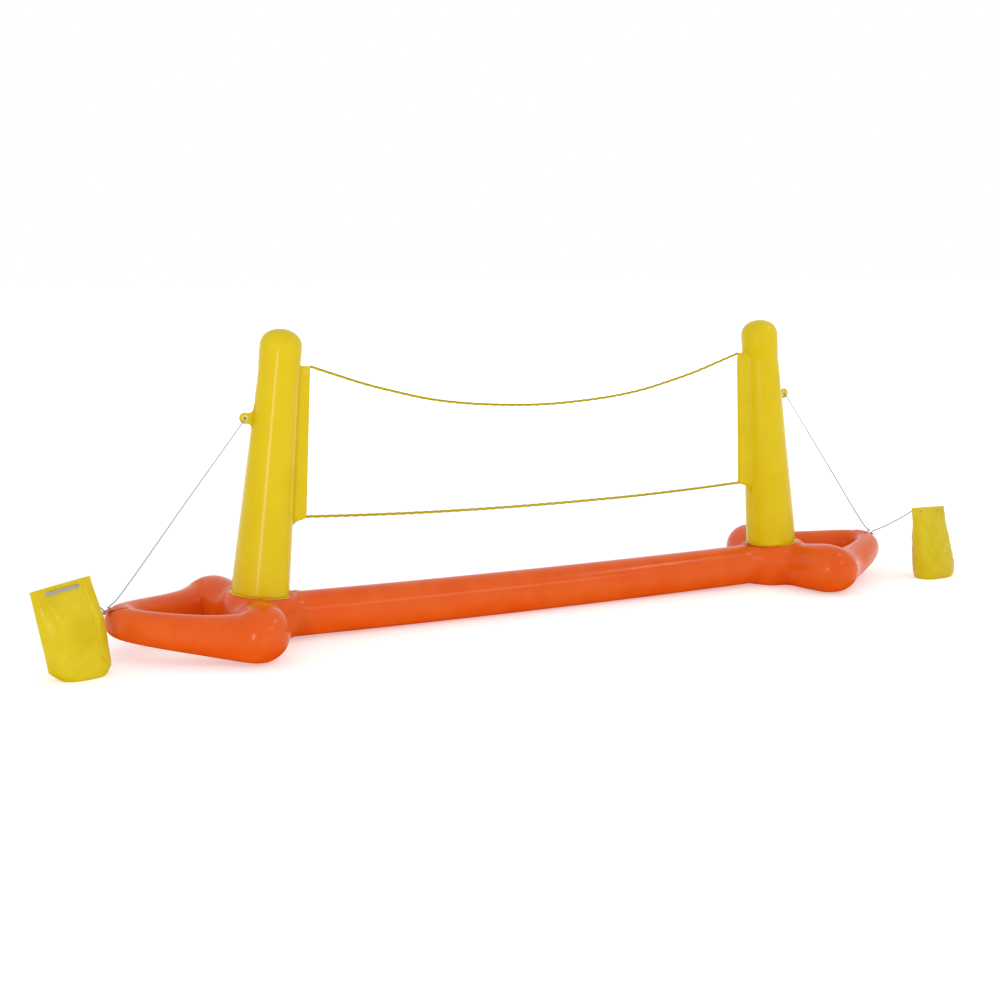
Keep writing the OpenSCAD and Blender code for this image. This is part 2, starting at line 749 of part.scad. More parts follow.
tether(RIGHT_TETHER);  // right_tether
tether_knots(-1, LEFT_POSE, 1);  // left_tether_knots
tether_knots(1, RIGHT_POSE, -1);  // right_tether_knots
base_valve_stem();
base_valve_plug();
pole_valve_stem(-1);  // left_pole_valve_stem
pole_valve_plug(-1);  // left_pole_valve_plug
pole_valve_stem(1);  // right_pole_valve_stem
pole_valve_plug(1);  // right_pole_valve_plug
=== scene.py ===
"""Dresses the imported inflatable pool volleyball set: float, poles, net cords, guy cords and weight bags.

Metres, +Z up. The origin is on the floor under the middle of the tube between the rings, +X runs along the
float and -Y is the side of play that the weight bags lie on. Every finished piece keeps its place in its mesh.
"""

import logging
import math
from collections.abc import Callable, Sequence
from dataclasses import dataclass, field
from enum import Enum

import bpy
import numpy as np
from mathutils import Euler, Matrix, Vector, noise


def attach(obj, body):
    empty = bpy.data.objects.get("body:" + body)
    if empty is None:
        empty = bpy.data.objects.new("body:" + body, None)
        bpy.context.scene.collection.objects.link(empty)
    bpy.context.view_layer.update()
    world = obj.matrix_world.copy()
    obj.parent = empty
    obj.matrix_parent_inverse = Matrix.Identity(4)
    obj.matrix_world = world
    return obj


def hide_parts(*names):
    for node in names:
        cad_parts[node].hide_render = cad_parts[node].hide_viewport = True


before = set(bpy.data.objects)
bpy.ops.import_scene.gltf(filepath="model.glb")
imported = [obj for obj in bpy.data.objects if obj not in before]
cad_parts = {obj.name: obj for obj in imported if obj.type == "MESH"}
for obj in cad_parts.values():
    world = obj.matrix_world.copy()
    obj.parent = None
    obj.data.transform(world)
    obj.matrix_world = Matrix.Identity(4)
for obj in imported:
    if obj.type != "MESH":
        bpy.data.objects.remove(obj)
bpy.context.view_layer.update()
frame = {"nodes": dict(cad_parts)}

LOG = logging.getLogger("volleyball_set")
Hoop = list[Vector]
Marks = float | Sequence[Sequence[float]]
Colour = tuple[float, float, float, float]
Span = tuple[float, float]
Socket = bpy.types.NodeSocket
Inputs = dict[str, object]
Piece = bpy.types.Object
Tree = bpy.types.NodeTree
Material = bpy.types.Material
UP = Vector((0, 0, 1))
ACROSS = Vector((0, 1, 0))
TAU = 2 * math.pi
# Steps between two points of a route, before the route is spaced evenly
FINE_STEPS = 24


class Side(Enum):
    """End of the float that a piece belongs to, as the sign of its X."""

    LEFT = -1
    RIGHT = 1

    @property
    def word(self) -> str:
        """The side's name as it begins the names of its pieces."""
        return self.name.lower()


class Lay(Enum):
    """How a cord is held."""

    TAUT = "taut"
    HANGING = "hanging"


# ======================= numbers and curves =======================


def linear(code: str) -> Colour:
    """Turns an sRGB hex colour into the linear colour that shaders take.

    Args:
        code: Colour such as "#E6CC0C".

    Returns:
        Linear red, green and blue, with an alpha of 1.
    """
    parts = [int(code[i : i + 2], 16) / 255 for i in (1, 3, 5)]
    return (*[c / 12.92 if c <= 0.04045 else ((c + 0.055) / 1.055) ** 2.4 for c in parts], 1.0)


def lerp(a: float, b: float, t: float) -> float:
    """Value at share t of the way from a to b."""
    return a + (b - a) * t


def smooth(t: float) -> float:
    """Eases t from 0 to 1, held at both ends."""
    t = min(max(t, 0.0), 1.0)
    return t * t * (3 - 2 * t)


def bell(distance: float, width: float) -> float:
    """Bump of height 1 that fades within about two widths."""
    return math.exp(-((distance / width) ** 2))


def spline(points: Sequence[Vector], count: int) -> list[Vector]:
    """Smooth curve through points, even in spacing.

    Args:
        points: Points that the curve passes through.
        count: Number of points wanted.

    Returns:
        Points on a centripetal Catmull-Rom curve, evenly spaced along it.
    """
    p = [2 * points[0] - points[1], *points, 2 * points[-1] - points[-2]]
    fine: list[Vector] = []
    for a, b, c, d in zip(p, p[1:], p[2:], p[3:]):
        k0, k1, k2 = (max((v - u).length, 1e-6) ** 0.5 for u, v in ((a, b), (b, c), (c, d)))
        m1 = (c - b) + k1 * ((b - a) / k0 - (c - a) / (k0 + k1))
        m2 = (c - b) + k1 * ((d - c) / k2 - (d - b) / (k1 + k2))
        for i in range(FINE_STEPS):
            t = i / FINE_STEPS
            fine.append(
                b * (2 * t**3 - 3 * t**2 + 1) + m1 * (t**3 - 2 * t**2 + t)
                + c * (3 * t**2 - 2 * t**3) + m2 * (t**3 - t**2)
            )
    fine.append(points[-1].copy())
    return even(fine, count)


def even(points: Sequence[Vector], count: int) -> list[Vector]:
    """Points evenly spaced along a polyline.

    Args:
        points: Corners of the polyline.
        count: Number of points wanted.

    Returns:
        Points on the polyline, its two ends among them.
    """
    reach = [0.0]
    for a, b in zip(points, points[1:]):
        reach.append(reach[-1] + (b - a).length)
    found, i = [], 0
    for k in range(count):
        want = reach[-1] * k / (count - 1)
        while i < len(points) - 2 and reach[i + 1] < want:
            i += 1
        found.append(points[i].lerp(points[i + 1], (want - reach[i]) / max(reach[i + 1] - reach[i], 1e-9)))
    return found


def length_of(points: Sequence[Vector]) -> float:
    """Length of a polyline."""
    return sum((b - a).length for a, b in zip(points, points[1:]))


def way_of(points: Sequence[Vector], i: int) -> Vector:
    """Direction of a polyline at its point i."""
    return (points[min(i + 1, len(points) - 1)] - points[max(i - 1, 0)]).normalized()


def across_of(way: Vector) -> Vector:
    """Level direction to the left of a way, or +Y for an upright one."""
    return ACROSS if abs(way.z) > 0.95 else UP.cross(way).normalized()


def turns(count: int) -> list[float]:
    """Angles of points spaced evenly round a circle."""
    return [TAU * j / count for j in range(count)]


def rucks(angle: float | np.ndarray, count: int, sway: float, slow: int) -> float | np.ndarray:
    """Height, from 0 to 1, of rucks that gather unevenly round a circle.

    Args:
        angle: Angle or angles round the circle.
        count: Rucks in the circle.
        sway: How far they wander, in radians.
        slow: Times they wander in the circle.

    Returns:
        Height at each angle.
    """
    return 0.5 + 0.5 * np.sin(count * angle + sway * np.sin(slow * angle))


# ======================= modelling =======================


def deselect() -> None:
    """Leaves object mode with nothing selected, the CAD nodes included."""
    if bpy.context.object and bpy.context.object.mode != "OBJECT":
        bpy.ops.object.mode_set(mode="OBJECT")
    bpy.ops.object.select_all(action="DESELECT")


def only(piece: Piece) -> Piece:
    """Selects one piece and makes it active."""
    deselect()
    piece.select_set(True)
    bpy.context.view_layer.objects.active = piece
    return piece


def named(name: str) -> Piece:
    """Names the primitive that was just added and puts its place in its mesh."""
    piece = bpy.context.object
    piece.name = piece.data.name = name
    bpy.ops.object.transform_apply(location=True, rotation=True, scale=True)
    return piece


@dataclass
class GriddedSkin:
    """Mesh cut into rows and columns from a primitive, with the row and column of each point."""

    piece: Piece
    keys: list[tuple[int, int]]

    @classmethod
    def tube(cls, name: str, rows: int, sides: int) -> "GriddedSkin":
        """Cuts an upright cylinder of height 1 into rows.

        Args:
            name: Name of the piece.
            rows: Hoops along it, its two ends among them.
            sides: Points round it, a multiple of 4.

        Returns:
            The skin, to be shaped by fit.
        """
        deselect()
        bpy.ops.mesh.primitive_cylinder_add(vertices=sides, radius=1, depth=1, location=(0, 0, 0.5))
        piece = named(name)
        points = piece.data.vertices
        cls.cut(piece, rows - 2, lambda a, b: abs(points[a].co.z - points[b].co.z) > 0.5)
        return cls(
            piece,
            [
                (round(v.co.z * (rows - 1)), round(math.atan2(v.co.y, v.co.x) / TAU * sides) % sides)
                for v in piece.data.vertices
            ],
        )

    @classmethod
    def ring(cls, name: str, rows: int, sides: int) -> "GriddedSkin":
        """Cuts a torus into rows.

        Args:
            name: Name of the piece.
            rows: Cross-sections round it, a multiple of 3.
            sides: Points of each, the first on the outer side of the ring, the next above it.

        Returns:
            The skin, to be shaped by fit.
        """
        deselect()
        bpy.ops.mesh.primitive_torus_add(major_segments=rows // 3, minor_segments=sides, generate_uvs=False)
        piece = named(name)
        cls.cut(piece, 2, lambda a, b: a // sides != b // sides)
        keys = []
        for v in piece.data.vertices:
            turn, tip = math.atan2(v.co.y, v.co.x), math.atan2(v.co.z, math.hypot(v.co.x, v.co.y) - 1)
            keys.append((round(turn / TAU * rows) % rows, round(tip / TAU * sides) % sides))
        return cls(piece, keys)

    @staticmethod
    def cut(piece: Piece, cuts: int, along: Callable[[int, int], bool]) -> None:
        """Cuts across the edges that run along a primitive.

        Args:
            piece: The primitive.
            cuts: Number of cuts in each edge.
            along: Says whether the edge between two points runs along it.
        """
        bpy.ops.object.mode_set(mode="EDIT")
        bpy.ops.mesh.select_mode(type="EDGE")
        bpy.ops.mesh.select_all(action="DESELECT")
        bpy.ops.object.mode_set(mode="OBJECT")
        for edge in piece.data.edges:
            edge.select = along(*edge.vertices)
        bpy.ops.object.mode_set(mode="EDIT")
        bpy.ops.mesh.subdivide(number_cuts=cuts)
        bpy.ops.object.mode_set(mode="OBJECT")

    def fit(self, hoops: Sequence[Hoop]) -> None:
        """Moves each row onto its hoop, whose points turn anticlockwise seen from the next row."""
        for point, (i, j) in zip(self.piece.data.vertices, self.keys):
            point.co = hoops[i][j]

    def mark(self, name: str, marks: Marks) -> None:
        """Stores a number on each point for the piece's material: one for all, or by row and column."""
        layer = self.piece.data.attributes.new(name, "FLOAT", "POINT")
        values = [marks if isinstance(marks, float) else marks[i][j] for i, j in self.keys]
        layer.data.foreach_set("value", values)


def skinned(name: str, hoops: Sequence[Hoop], mark: str = "", marks: Marks = 0.0, closed: bool = False) -> Piece:
    """Makes a skin through hoops.

    Args:
        name: Name of the piece.
        hoops: Hoops from one end to the other.
        mark: Attribute that the piece's material reads, if any.
        marks: Its numbers.
        closed: Whether the last hoop leads back to the first.

    Returns:
        The piece.
    """
    make = GriddedSkin.ring if closed else GriddedSkin.tube
    skin = make(name, len(hoops), len(hoops[0]))
    skin.fit(hoops)
    if mark:
        skin.mark(mark, marks)
    return skin.piece


def face_outwards(piece: Piece) -> None:
    """Turns every face of a closed piece outwards."""
    only(piece)
    bpy.ops.object.mode_set(mode="EDIT")
    bpy.ops.mesh.select_all(action="SELECT")
    bpy.ops.mesh.normals_make_consistent(inside=False)
    bpy.ops.object.mode_set(mode="OBJECT")


def shade(piece: Piece, angle: float) -> None:
    """Shades a piece smooth except at edges sharper than angle, in degrees."""
    only(piece)
    bpy.ops.object.shade_smooth_by_angle(angle=math.radians(angle))


def face_and_shade(piece: Piece, angle: float) -> Piece:
    """Turns a closed piece's faces outwards and shades it."""
    face_outwards(piece)
    shade(piece, angle)
    return piece


def apply_modifiers(piece: Piece) -> None:
    """Applies every modifier of a piece in order."""
    only(piece)
    for modifier in list(piece.modifiers):
        bpy.ops.object.modifier_apply(modifier=modifier.name)


def bore(piece: Piece, sides: int, radius: float, depth: float, at: Sequence[float], turn: Euler) -> None:
    """Cuts a round hole.

    Args:
        piece: Piece to cut.
        sides: Sides of the hole.
        radius: Radius of the hole.
        depth: Length of the cutter.
        at: Middle of the hole.
        turn: Rotation of the cutter from upright.
    """
    deselect()
    bpy.ops.mesh.primitive_cylinder_add(vertices=sides, radius=radius, depth=depth, location=at, rotation=turn)
    cutter = bpy.context.object
    cut = piece.modifiers.new("hole", "BOOLEAN")
    cut.object, cut.operation, cut.solver = cutter, "DIFFERENCE", "EXACT"
    apply_modifiers(piece)
    bpy.data.objects.remove(cutter)


def joined(pieces: Sequence[Piece], name: str) -> Piece:
    """Joins pieces into one object."""
    deselect()
    for piece in pieces:
        piece.select_set(True)
    bpy.context.view_layer.objects.active = pieces[0]
    bpy.ops.object.join()
    pieces[0].name = pieces[0].data.name = name
    return pieces[0]


# ======================= materials =======================


def add_node(tree: Tree, kind: str, settings: Inputs | None = None, links: Inputs | None = None) -> bpy.types.Node:
    """Adds one node with its settings and inputs.

    Args:
        tree: Node tree of a material or the world.
        kind: Type name of the node.
        settings: Properties to set on the node.
        links: For each input's name, or its place as digits, an output to link or a value to set.

    Returns:
        The node.
    """
    node = tree.nodes.new(kind)
    for key, value in (settings or {}).items():
        setattr(node, key, value)
    for key, value in (links or {}).items():
        socket = node.inputs[int(key) if key.isdigit() else key]
        if isinstance(value, Socket):
            tree.links.new(value, socket)
        else:
            socket.default_value = value
    return node


def new_material(name: str) -> tuple[Material, Tree]:
    """An empty node material and its tree."""
    material = bpy.data.materials.new(name)
    material.use_nodes = True
    material.node_tree.nodes.clear()
    return material, material.node_tree


def noise_field(tree: Tree, scale: float, detail: float = 2.0, distortion: float = 0.0) -> Socket:
    """Noise from 0 to 1 in the piece's Object coordinates, its scale in waves per metre."""
    spot = add_node(tree, "ShaderNodeTexCoord").outputs["Object"]
    inputs = {"Vector": spot, "Scale": scale, "Detail": detail, "Distortion": distortion}
    return add_node(tree, "ShaderNodeTexNoise", None, inputs).outputs["Fac"]


def attribute(tree: Tree, name: str) -> Socket:
    """Number that a piece stores on its points."""
    return add_node(tree, "ShaderNodeAttribute", {"attribute_name": name}).outputs["Fac"]


def worked_out(tree: Tree, operation: str, *values: object) -> Socket:
    """Result of a sum in nodes."""
    inputs = {str(i): value for i, value in enumerate(values)}
    return add_node(tree, "ShaderNodeMath", {"operation": operation}, inputs).outputs[0]


def ranged(tree: Tree, value: Socket, given: Span, wanted: Span = (0.0, 1.0)) -> Socket:
    """Value carried from one span to another and held at its ends."""
    inputs = dict(zip(("From Min", "From Max", "To Min", "To Max"), (*given, *wanted)))
    return add_node(tree, "ShaderNodeMapRange", None, {"Value": value, **inputs}).outputs["Result"]


def blended(tree: Tree, share: Socket, colour: str, other: str) -> Socket:
    """Mix of two hex colours."""
    inputs = {"0": share, "6": linear(colour), "7": linear(other)}
    return add_node(tree, "ShaderNodeMix", {"data_type": "RGBA"}, inputs).outputs[2]


def bumped(tree: Tree, height: Socket, strength: float, distance: float) -> Socket:
    """Normals of a surface with a height on it."""
    inputs = {"Height": height, "Strength": strength, "Distance": distance}
    return add_node(tree, "ShaderNodeBump", None, inputs).outputs[0]


@dataclass(frozen=True)
class Finish:
    """Finish of one real material, its patterns in real millimetres."""

    name: str
    colour: str

    def inputs(self, tree: Tree) -> Inputs:
        """What goes into the shader.

        Args:
            tree: Node tree of the material.

        Returns:
            An output to link or a value to set for each input's name.
        """
        raise NotImplementedError

    def build(self) -> Material:
        """Makes the material.

        Returns:
            The material, which reads Object coordinates and its piece's attributes.
        """
        material, tree = new_material(self.name)
        shader = add_node(tree, "ShaderNodeBsdfPrincipled", None, self.inputs(tree))
        add_node(tree, "ShaderNodeOutputMaterial", None, {"Surface": shader.outputs[0]})
        return material


@dataclass(frozen=True)
class CalenderedVinyl(Finish):
    """Glossy PVC film, calendered smooth and drawn tight by the air inside.

    The film gives a saturated colour under a clear sheen, a faint unevenness where it is thinner,
    and fine wrinkles that gather beside its welds.
    """

    thin_colour: str
    roughness: float = 0.2
    gather_mm: float = 5.0
    sheen: float = 0.16
    ior: float = 1.53
    clouds_per_m: float = 14.0
    grain_per_m: float = 160.0
    grain_share: float = 0.035

    def inputs(self, tree: Tree) -> Inputs:
        """What goes into the shader, with the wrinkles of the "gather" attribute."""
        cloud = noise_field(tree, self.clouds_per_m, 3.0)
        grain = noise_field(tree, self.grain_per_m)
        # Wrinkles a few millimetres apart, drawn only where the film is gathered
        wrinkle = noise_field(tree, 1000 / self.gather_mm / 2, 2.0, 0.6)
        gathered = worked_out(tree, "MULTIPLY", wrinkle, attribute(tree, "gather"))
        height = worked_out(tree, "MULTIPLY_ADD", grain, self.grain_share, gathered)
        # Painted shade: the sheen fades to none on faces that turn down, so the underside shows no reflection of the
        # floor
        normal = add_node(tree, "ShaderNodeNewGeometry").outputs["Normal"]
        facing = add_node(tree, "ShaderNodeSeparateXYZ", None, {"0": normal}).outputs["Z"]
        return {
            "Base Color": blended(tree, ranged(tree, cloud, (0.35, 0.7)), self.colour, self.thin_colour),
            "Roughness": self.roughness,
            "IOR": self.ior,
            "Specular IOR Level": ranged(tree, facing, (-0.45, 0.05), (0.0, self.sheen)),
            "Normal": bumped(tree, height, 0.35, 0.0012),
        }


@dataclass(frozen=True)
class ClearVinyl(Finish):
    """Unpigmented PVC, moulded or cut from thick sheet, that lets some light through."""

    clear: float = 0.1
    roughness: float = 0.18
    ior: float = 1.53
    haze_per_m: float = 300.0

    def inputs(self, tree: Tree) -> Inputs:
        """What goes into the shader, with a faint haze."""
        haze = noise_field(tree, self.haze_per_m)
        return {
            "Base Color": linear(self.colour),
            "Roughness": ranged(tree, haze, (0.0, 1.0), (self.roughness, self.roughness + 0.14)),
            "IOR": self.ior,
            "Transmission Weight": self.clear,
            "Normal": bumped(tree, haze, 0.15, 0.0004),
        }


@dataclass(frozen=True)
class TwistedCord(Finish):
    """Laid synthetic cord: fine filaments that run with the strands, with painted shade in the grooves between them."""

    groove_colour: str
    roughness: float = 0.62
    filament_mm: float = 0.35

    def inputs(self, tree: Tree) -> Inputs:
        """What goes into the shader, with painted shade in the grooves that the "groove" attribute marks."""
        # Filaments are finer than a pixel, so they are drawn about three times as coarse as they are
        fuzz = noise_field(tree, 1000 / self.filament_mm / 3)
        return {
            # Painted shade: the colour darkens where the "groove" attribute marks a groove between strands
            "Base Color": blended(tree, attribute(tree, "groove"), self.colour, self.groove_colour),
            "Roughness": self.roughness,
            "Sheen Weight": 0.04,
            "Specular IOR Level": 0.15,
            "Normal": bumped(tree, fuzz, 0.4, 0.0003),
        }


@dataclass
class Finishes:
    """The finishes of the set, each made once and shared by its pieces."""

    orange: Material = field(default_factory=CalenderedVinyl("calendered_pvc_orange", "#E25710", "#E6621C").build)
    yellow: Material = field(default_factory=CalenderedVinyl("calendered_pvc_yellow", "#DABD05", "#DEC313").build)
    bag: Material = field(default_factory=CalenderedVinyl("calendered_pvc_bag_yellow", "#D0B50B", "#DAC321", 0.3).build)
    tab: Material = field(default_factory=CalenderedVinyl("pressed_pvc_tab_orange", "#DA4A12", "#E05A22", 0.3).build)
    weld: Material = field(default_factory=CalenderedVinyl("pressed_pvc_weld_yellow", "#EBCF48", "#F0DA66", 0.32).build)
    clear: Material = field(default_factory=ClearVinyl("clear_pvc_yellowish", "#EEDD4C").build)
    # The darker second colour of each cord is painted shade for its grooves; the polyester cord is white, and its
    # greyish colour here is painted shade too
    yellow_cord: Material = field(default_factory=TwistedCord("laid_polyethylene_cord", "#DAC00C", "#A08A08").build)
    white_cord: Material = field(default_factory=TwistedCord("laid_polyester_cord", "#C9CAD8", "#8F91AA").build)


def dress(piece: Piece, material: Material) -> None:
    """Gives a piece one material."""
    piece.data.materials.clear()
    piece.data.materials.append(material)


def place(piece: Piece, material: Material, body: str, node: str, slot: str) -> Piece:
    """Finishes a piece: its material, the body that it rides on and the CAD node that it stands for.

    Args:
        piece: Finished mesh.
        material: Its finish.
        body: CAD body that it moves with.
        node: CAD node that it replaces.
        slot: Name of a material slot; not used.

    Returns:
        The piece.
    """
    dress(piece, material)
    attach(piece, body)
    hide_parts(node)
    LOG.info("%s: %d faces on %s", piece.name, len(piece.data.polygons), body)
    return piece


# ======================= float =======================


@dataclass
class FloatRing:
    """Rounded three-cornered ring at one end of the float, its tube fuller at the two inner corners."""

    side: Side
    float_half: float = 1.22
    ring_len: float = 0.426
    corner_spread: float = 0.244
    inner_d: float = 0.104
    corner_d: float = 0.165
    arm_d: float = 0.099
    tip_d: float = 0.073
    tip_lift: float = 0.073
    arm_lift: float = 0.004
    corner_in: float = 0.044
    arm_in: float = 0.08
    arm_spread: float = 0.73
    floor_cut: float = 0.0005
    ruck_pitch: float = 0.017
    ruck_depth: float = 0.0013
    inner_rucks: float = 0.03
    outer_rucks: float = 0.028
    steps: int = 540
    around: int = 80
    tight_from: float = 0.7
    spread_steps: int = 34
    relax_steps: int = 600

    @property
    def inner_x(self) -> float:
        """Middle of the tube at the ring's inner side, on the right side."""
        return self.float_half - self.ring_len + (4 * self.inner_d + 2 * self.corner_d) / 12

    def controls(self) -> list[tuple[Vector, float]]:
        """Control points of the ring's middle line with the radius at each, for the right side."""
        x = self.inner_x - self.corner_in / 3
        corner_x, arm_x = x + self.corner_in, x + self.arm_in
        arm_y = self.arm_spread * self.corner_spread
        tip_x = self.float_half - (4 * self.tip_d + 2 * self.arm_d) / 12
        rows = [
            (x, 0, self.inner_d, 0),
            (corner_x, -self.corner_spread, self.corner_d, 0),
            (arm_x, -arm_y, self.arm_d, self.arm_lift),
            ((6 * tip_x - 2 * arm_x) / 4, 0, self.tip_d, self.tip_lift),
            (arm_x, arm_y, self.arm_d, self.arm_lift),
            (corner_x, self.corner_spread, self.corner_d, 0),
        ]
        return [(Vector((px, py, d / 2 + lift - self.floor_cut)), d / 2) for px, py, d, lift in rows]

    def at(self, share: float) -> tuple[Vector, float]:
        """Middle and radius of the tube at a share of the way round, from the inner side towards -Y."""
        p = self.controls()
        n = len(p)
        i, t = int(share * n) % n, share * n % 1
        weights = [(1 - t) ** 3, 3 * t**3 - 6 * t**2 + 4, -3 * t**3 + 3 * t**2 + 3 * t + 1, t**3]
        near = [p[(i + k - 1) % n] for k in range(4)]
        middle = sum((w * c for w, (c, _) in zip(weights, near)), Vector()) / 6
        return middle, sum(w * r for w, (_, r) in zip(weights, near)) / 6

    def centreline(self, count: int) -> list[tuple[Vector, float]]:
        """Middles and radii of the tube, evenly spaced in share."""
        return [self.at(i / count) for i in range(count)]

    def gathers(self, travelled: float, angle: float, radius: float, bend: float) -> tuple[float, float]:
        """Depth of the puckers beside the welds.

        Args:
            travelled: Distance along the tube.
            angle: Angle round the tube, 0 at the ring's outer side and a quarter turn on top.
            radius: Radius of the tube there.
            bend: Curvature of the tube there, per metre.

        Returns:
            Inward depth in metres, and the strength of fine wrinkles from 0 to 1.
        """
        wander = math.sin(travelled * 61) + 0.6 * math.sin(travelled * 23 + 1)
        wave = 0.5 + 0.5 * math.sin(TAU * travelled / self.ruck_pitch + 1.4 * wander)
        inner = bell((math.pi - angle % TAU) * radius, self.inner_rucks)
        low = (angle + 0.7 + math.pi) % TAU - math.pi
        outer = bell(low * radius, self.outer_rucks) * smooth((bend - 3.0) / 7)
        strength = inner * (0.45 + 0.55 * smooth(bend / 9)) + 0.7 * outer
        return self.ruck_depth * strength * wave**2, min(strength, 1.0)

    def build(self) -> Piece:
        """Sweeps the ring.

        Returns:
            The ring's skin, closed and lying flat on the floor.
        """
        line = self.centreline(self.steps)
        travelled, hoops, marks, bends = 0.0, [], [], []
        for i, (middle, radius) in enumerate(line):
            before, after = line[i - 1][0], line[(i + 1) % self.steps][0]
            way = (after - before).normalized()
            turn = (middle - before).normalized().cross((after - middle).normalized()).length
            bend = turn / max((after - middle).length, 1e-6)
            across = across_of(way)
            lift = way.cross(across)
            hoop, row = [], []
            for angle in turns(self.around):
                depth, wrinkle = self.gathers(travelled, angle, radius, bend)
                out = -math.cos(angle) * across + math.sin(angle) * lift
                point = middle + (radius - depth) * out
                hoop.append(Vector((point.x * self.side.value, point.y, max(point.z, 0.0))))
                row.append(wrinkle)
            hoops.append(hoop)
            marks.append(row)
            bends.append(bend * radius)
            travelled += (after - middle).length
        return skinned(f"{self.side.word}_ring_skin", self.relaxed(hoops, bends), "gather", marks, closed=True)

    def relaxed(self, hoops: Sequence[Hoop], bends: Sequence[float]) -> list[Hoop]:
        """Draws the skin smooth on the inner side of tight bends, where the hoops would run into each other.

        Args:
            hoops: Points round the tube at each step.
            bends: Radius of the tube times its curvature at each step.

        Returns:
            The hoops, relaxed.
        """
        tight = np.clip((np.array(bends) - self.tight_from) / 0.3, 0, 1)
        for _ in range(self.spread_steps):
            tight = np.maximum(tight, (np.roll(tight, 1) + np.roll(tight, -1)) / 2)
            tight = np.maximum(tight, 0.93 * np.maximum(np.roll(tight, 1), np.roll(tight, -1)))
        inner = np.clip((0.35 - np.cos(turns(self.around))) / 0.9, 0, 1)
        inner = inner * inner * (3 - 2 * inner)
        weight = (tight[:, None] * inner[None, :])[:, :, None]
        points = np.array([[tuple(p) for p in hoop] for hoop in hoops])
        for _ in range(self.relax_steps):
            points += weight * ((np.roll(points, 1, 0) + np.roll(points, -1, 0)) / 2 - points) / 2
        return [[Vector(p) for p in hoop] for hoop in points]


@dataclass
class AnchorTab:
    """Tab welded to the top of the ring's tip, with a hole for the guy cord and one for the bag's tether."""

    ring: FloatRing
    slope: float = 20
    root_x: float = 1.1996
    root_z: float = 0.1278
    start_x: float = 1.158
    start_round: float = 0.016
    patch_half: float = 0.023
    neck_x: float = 1.186
    neck_len: float = 0.02
    half: float = 0.012
    nose_x: float = 1.2172
    hole_xs: tuple[float, float] = (1.2078, 1.22)
    hole_z: float = 0.122
    hole_d: float = 0.009
    hole_sides: int = 40
    sheet: float = 0.002
    weld_rise: float = 0.0013
    rim_drop: float = 0.0005
    rows: int = 56
    cols: int = 24

    def width(self, x: float) -> float:
        """Half the tab's width at x."""
        if x > self.nose_x:
            run = min((x - self.nose_x) / (self.half * math.cos(math.radians(self.slope))), 1)
            return self.half * math.sqrt(max(1 - run * run, 0.002))
        start = min((x - self.start_x) / self.start_round, 1)
        wide = self.patch_half * math.sqrt(max(1 - (1 - start) ** 2, 0.002))
        return lerp(wide, self.half, smooth((x - self.neck_x) / self.neck_len))

    def height(self, x: float, y: float, line: np.ndarray) -> float:
        """Height of the tab's upper face: on the ring's skin, then straight on over the tip.

        Args:
            x: Distance from the middle of the set.
            y: Distance across.
            line: Middles and radii of the ring.

        Returns:
            Height above the floor.
        """
        left = line[:, 3] ** 2 - (line[:, 0] - x) ** 2 - (line[:, 1] - y) ** 2
        skin = np.max(np.where(left > 0, line[:, 2] + np.sqrt(np.maximum(left, 0)), 0)) + self.weld_rise
        plane = self.root_z - (x - self.root_x) * math.tan(math.radians(self.slope))
        return lerp(skin, max(plane, skin), smooth((x - self.root_x + 0.006) / 0.012))

    def build(self) -> Piece:
        """Makes the tab from a grid laid over the tip, thickened, with two round holes."""
        line = np.array([(*m, r) for m, r in self.ring.centreline(400)])
        tilt = math.radians(self.slope)
        end_x = self.nose_x + self.half * math.cos(tilt)
        s = self.ring.side.value
        deselect()
        bpy.ops.mesh.primitive_grid_add(x_subdivisions=self.rows, y_subdivisions=self.cols, size=2)
        tab = named(f"{self.ring.side.word}_anchor_tab_welded")
        for v in tab.data.vertices:
            x = lerp(self.start_x, end_x, math.sin((v.co.x + 1) * math.pi / 4))
            y = self.width(x) * math.sin(v.co.y * math.pi / 2)
            rim = self.rim_drop * max(abs(v.co.y), abs(v.co.x)) ** 12
            v.co = (s * x, y, self.height(x, y, line) - rim)
        thick = tab.modifiers.new("thick", "SOLIDIFY")
        thick.thickness, thick.offset = self.sheet, -s
        apply_modifiers(tab)
        for x in self.hole_xs:
            bore(tab, self.hole_sides, self.hole_d / 2, 0.05, (s * x, 0, self.hole_z), Euler((0, s * tilt, 0)))
        return face_and_shade(tab, 40)


@dataclass
class FloatBeam:
    """Tube between the two rings, its ends running on into them."""

    ring: FloatRing
    diameter: float = 0.118
    bow: float = 0.007
    floor_cut: float = 0.0005
    end_gap: float = 0.012
    ruck_x: float = 0.77
    ruck_len: float = 0.03
    ruck_depth: float = 0.0008
    around: int = 96
    rows: int = 181
    crowding: float = 1.5

    def point(self, x: float, angle: float, grow: float) -> Vector:
        """Point of the skin at x, at an angle from +Y upwards."""
        radius = self.diameter / 2 + grow
        rise = self.bow * (x / self.ring.inner_x) ** 2
        height = self.diameter / 2 - self.floor_cut + rise + radius * math.sin(angle)
        return Vector((x, radius * math.cos(angle), max(height, 0.0)))

    def build(self) -> Piece:
        """Makes the tube.

        Returns:
            The tube, its skin faintly gathered near the rings.
        """
        hoops = []
        for i in range(self.rows):
            share = 2 * i / (self.rows - 1) - 1
            # Rows crowd towards the ends, where the skin turns into the rings
            share = math.copysign(1 - (1 - abs(share)) ** self.crowding, share)
            x = share * (self.ring.inner_x - self.end_gap)
            depth = self.ruck_depth * bell(self.ruck_x - abs(x), self.ruck_len)
            hoops.append([self.point(x, a, -depth * rucks(a, 23, 2, 5) ** 2) for a in turns(self.around)])
        marks = [[bell(0.76 - abs(p.x), 0.05) for p in hoop] for hoop in hoops]
        return skinned("beam_skin", hoops, "gather", marks)


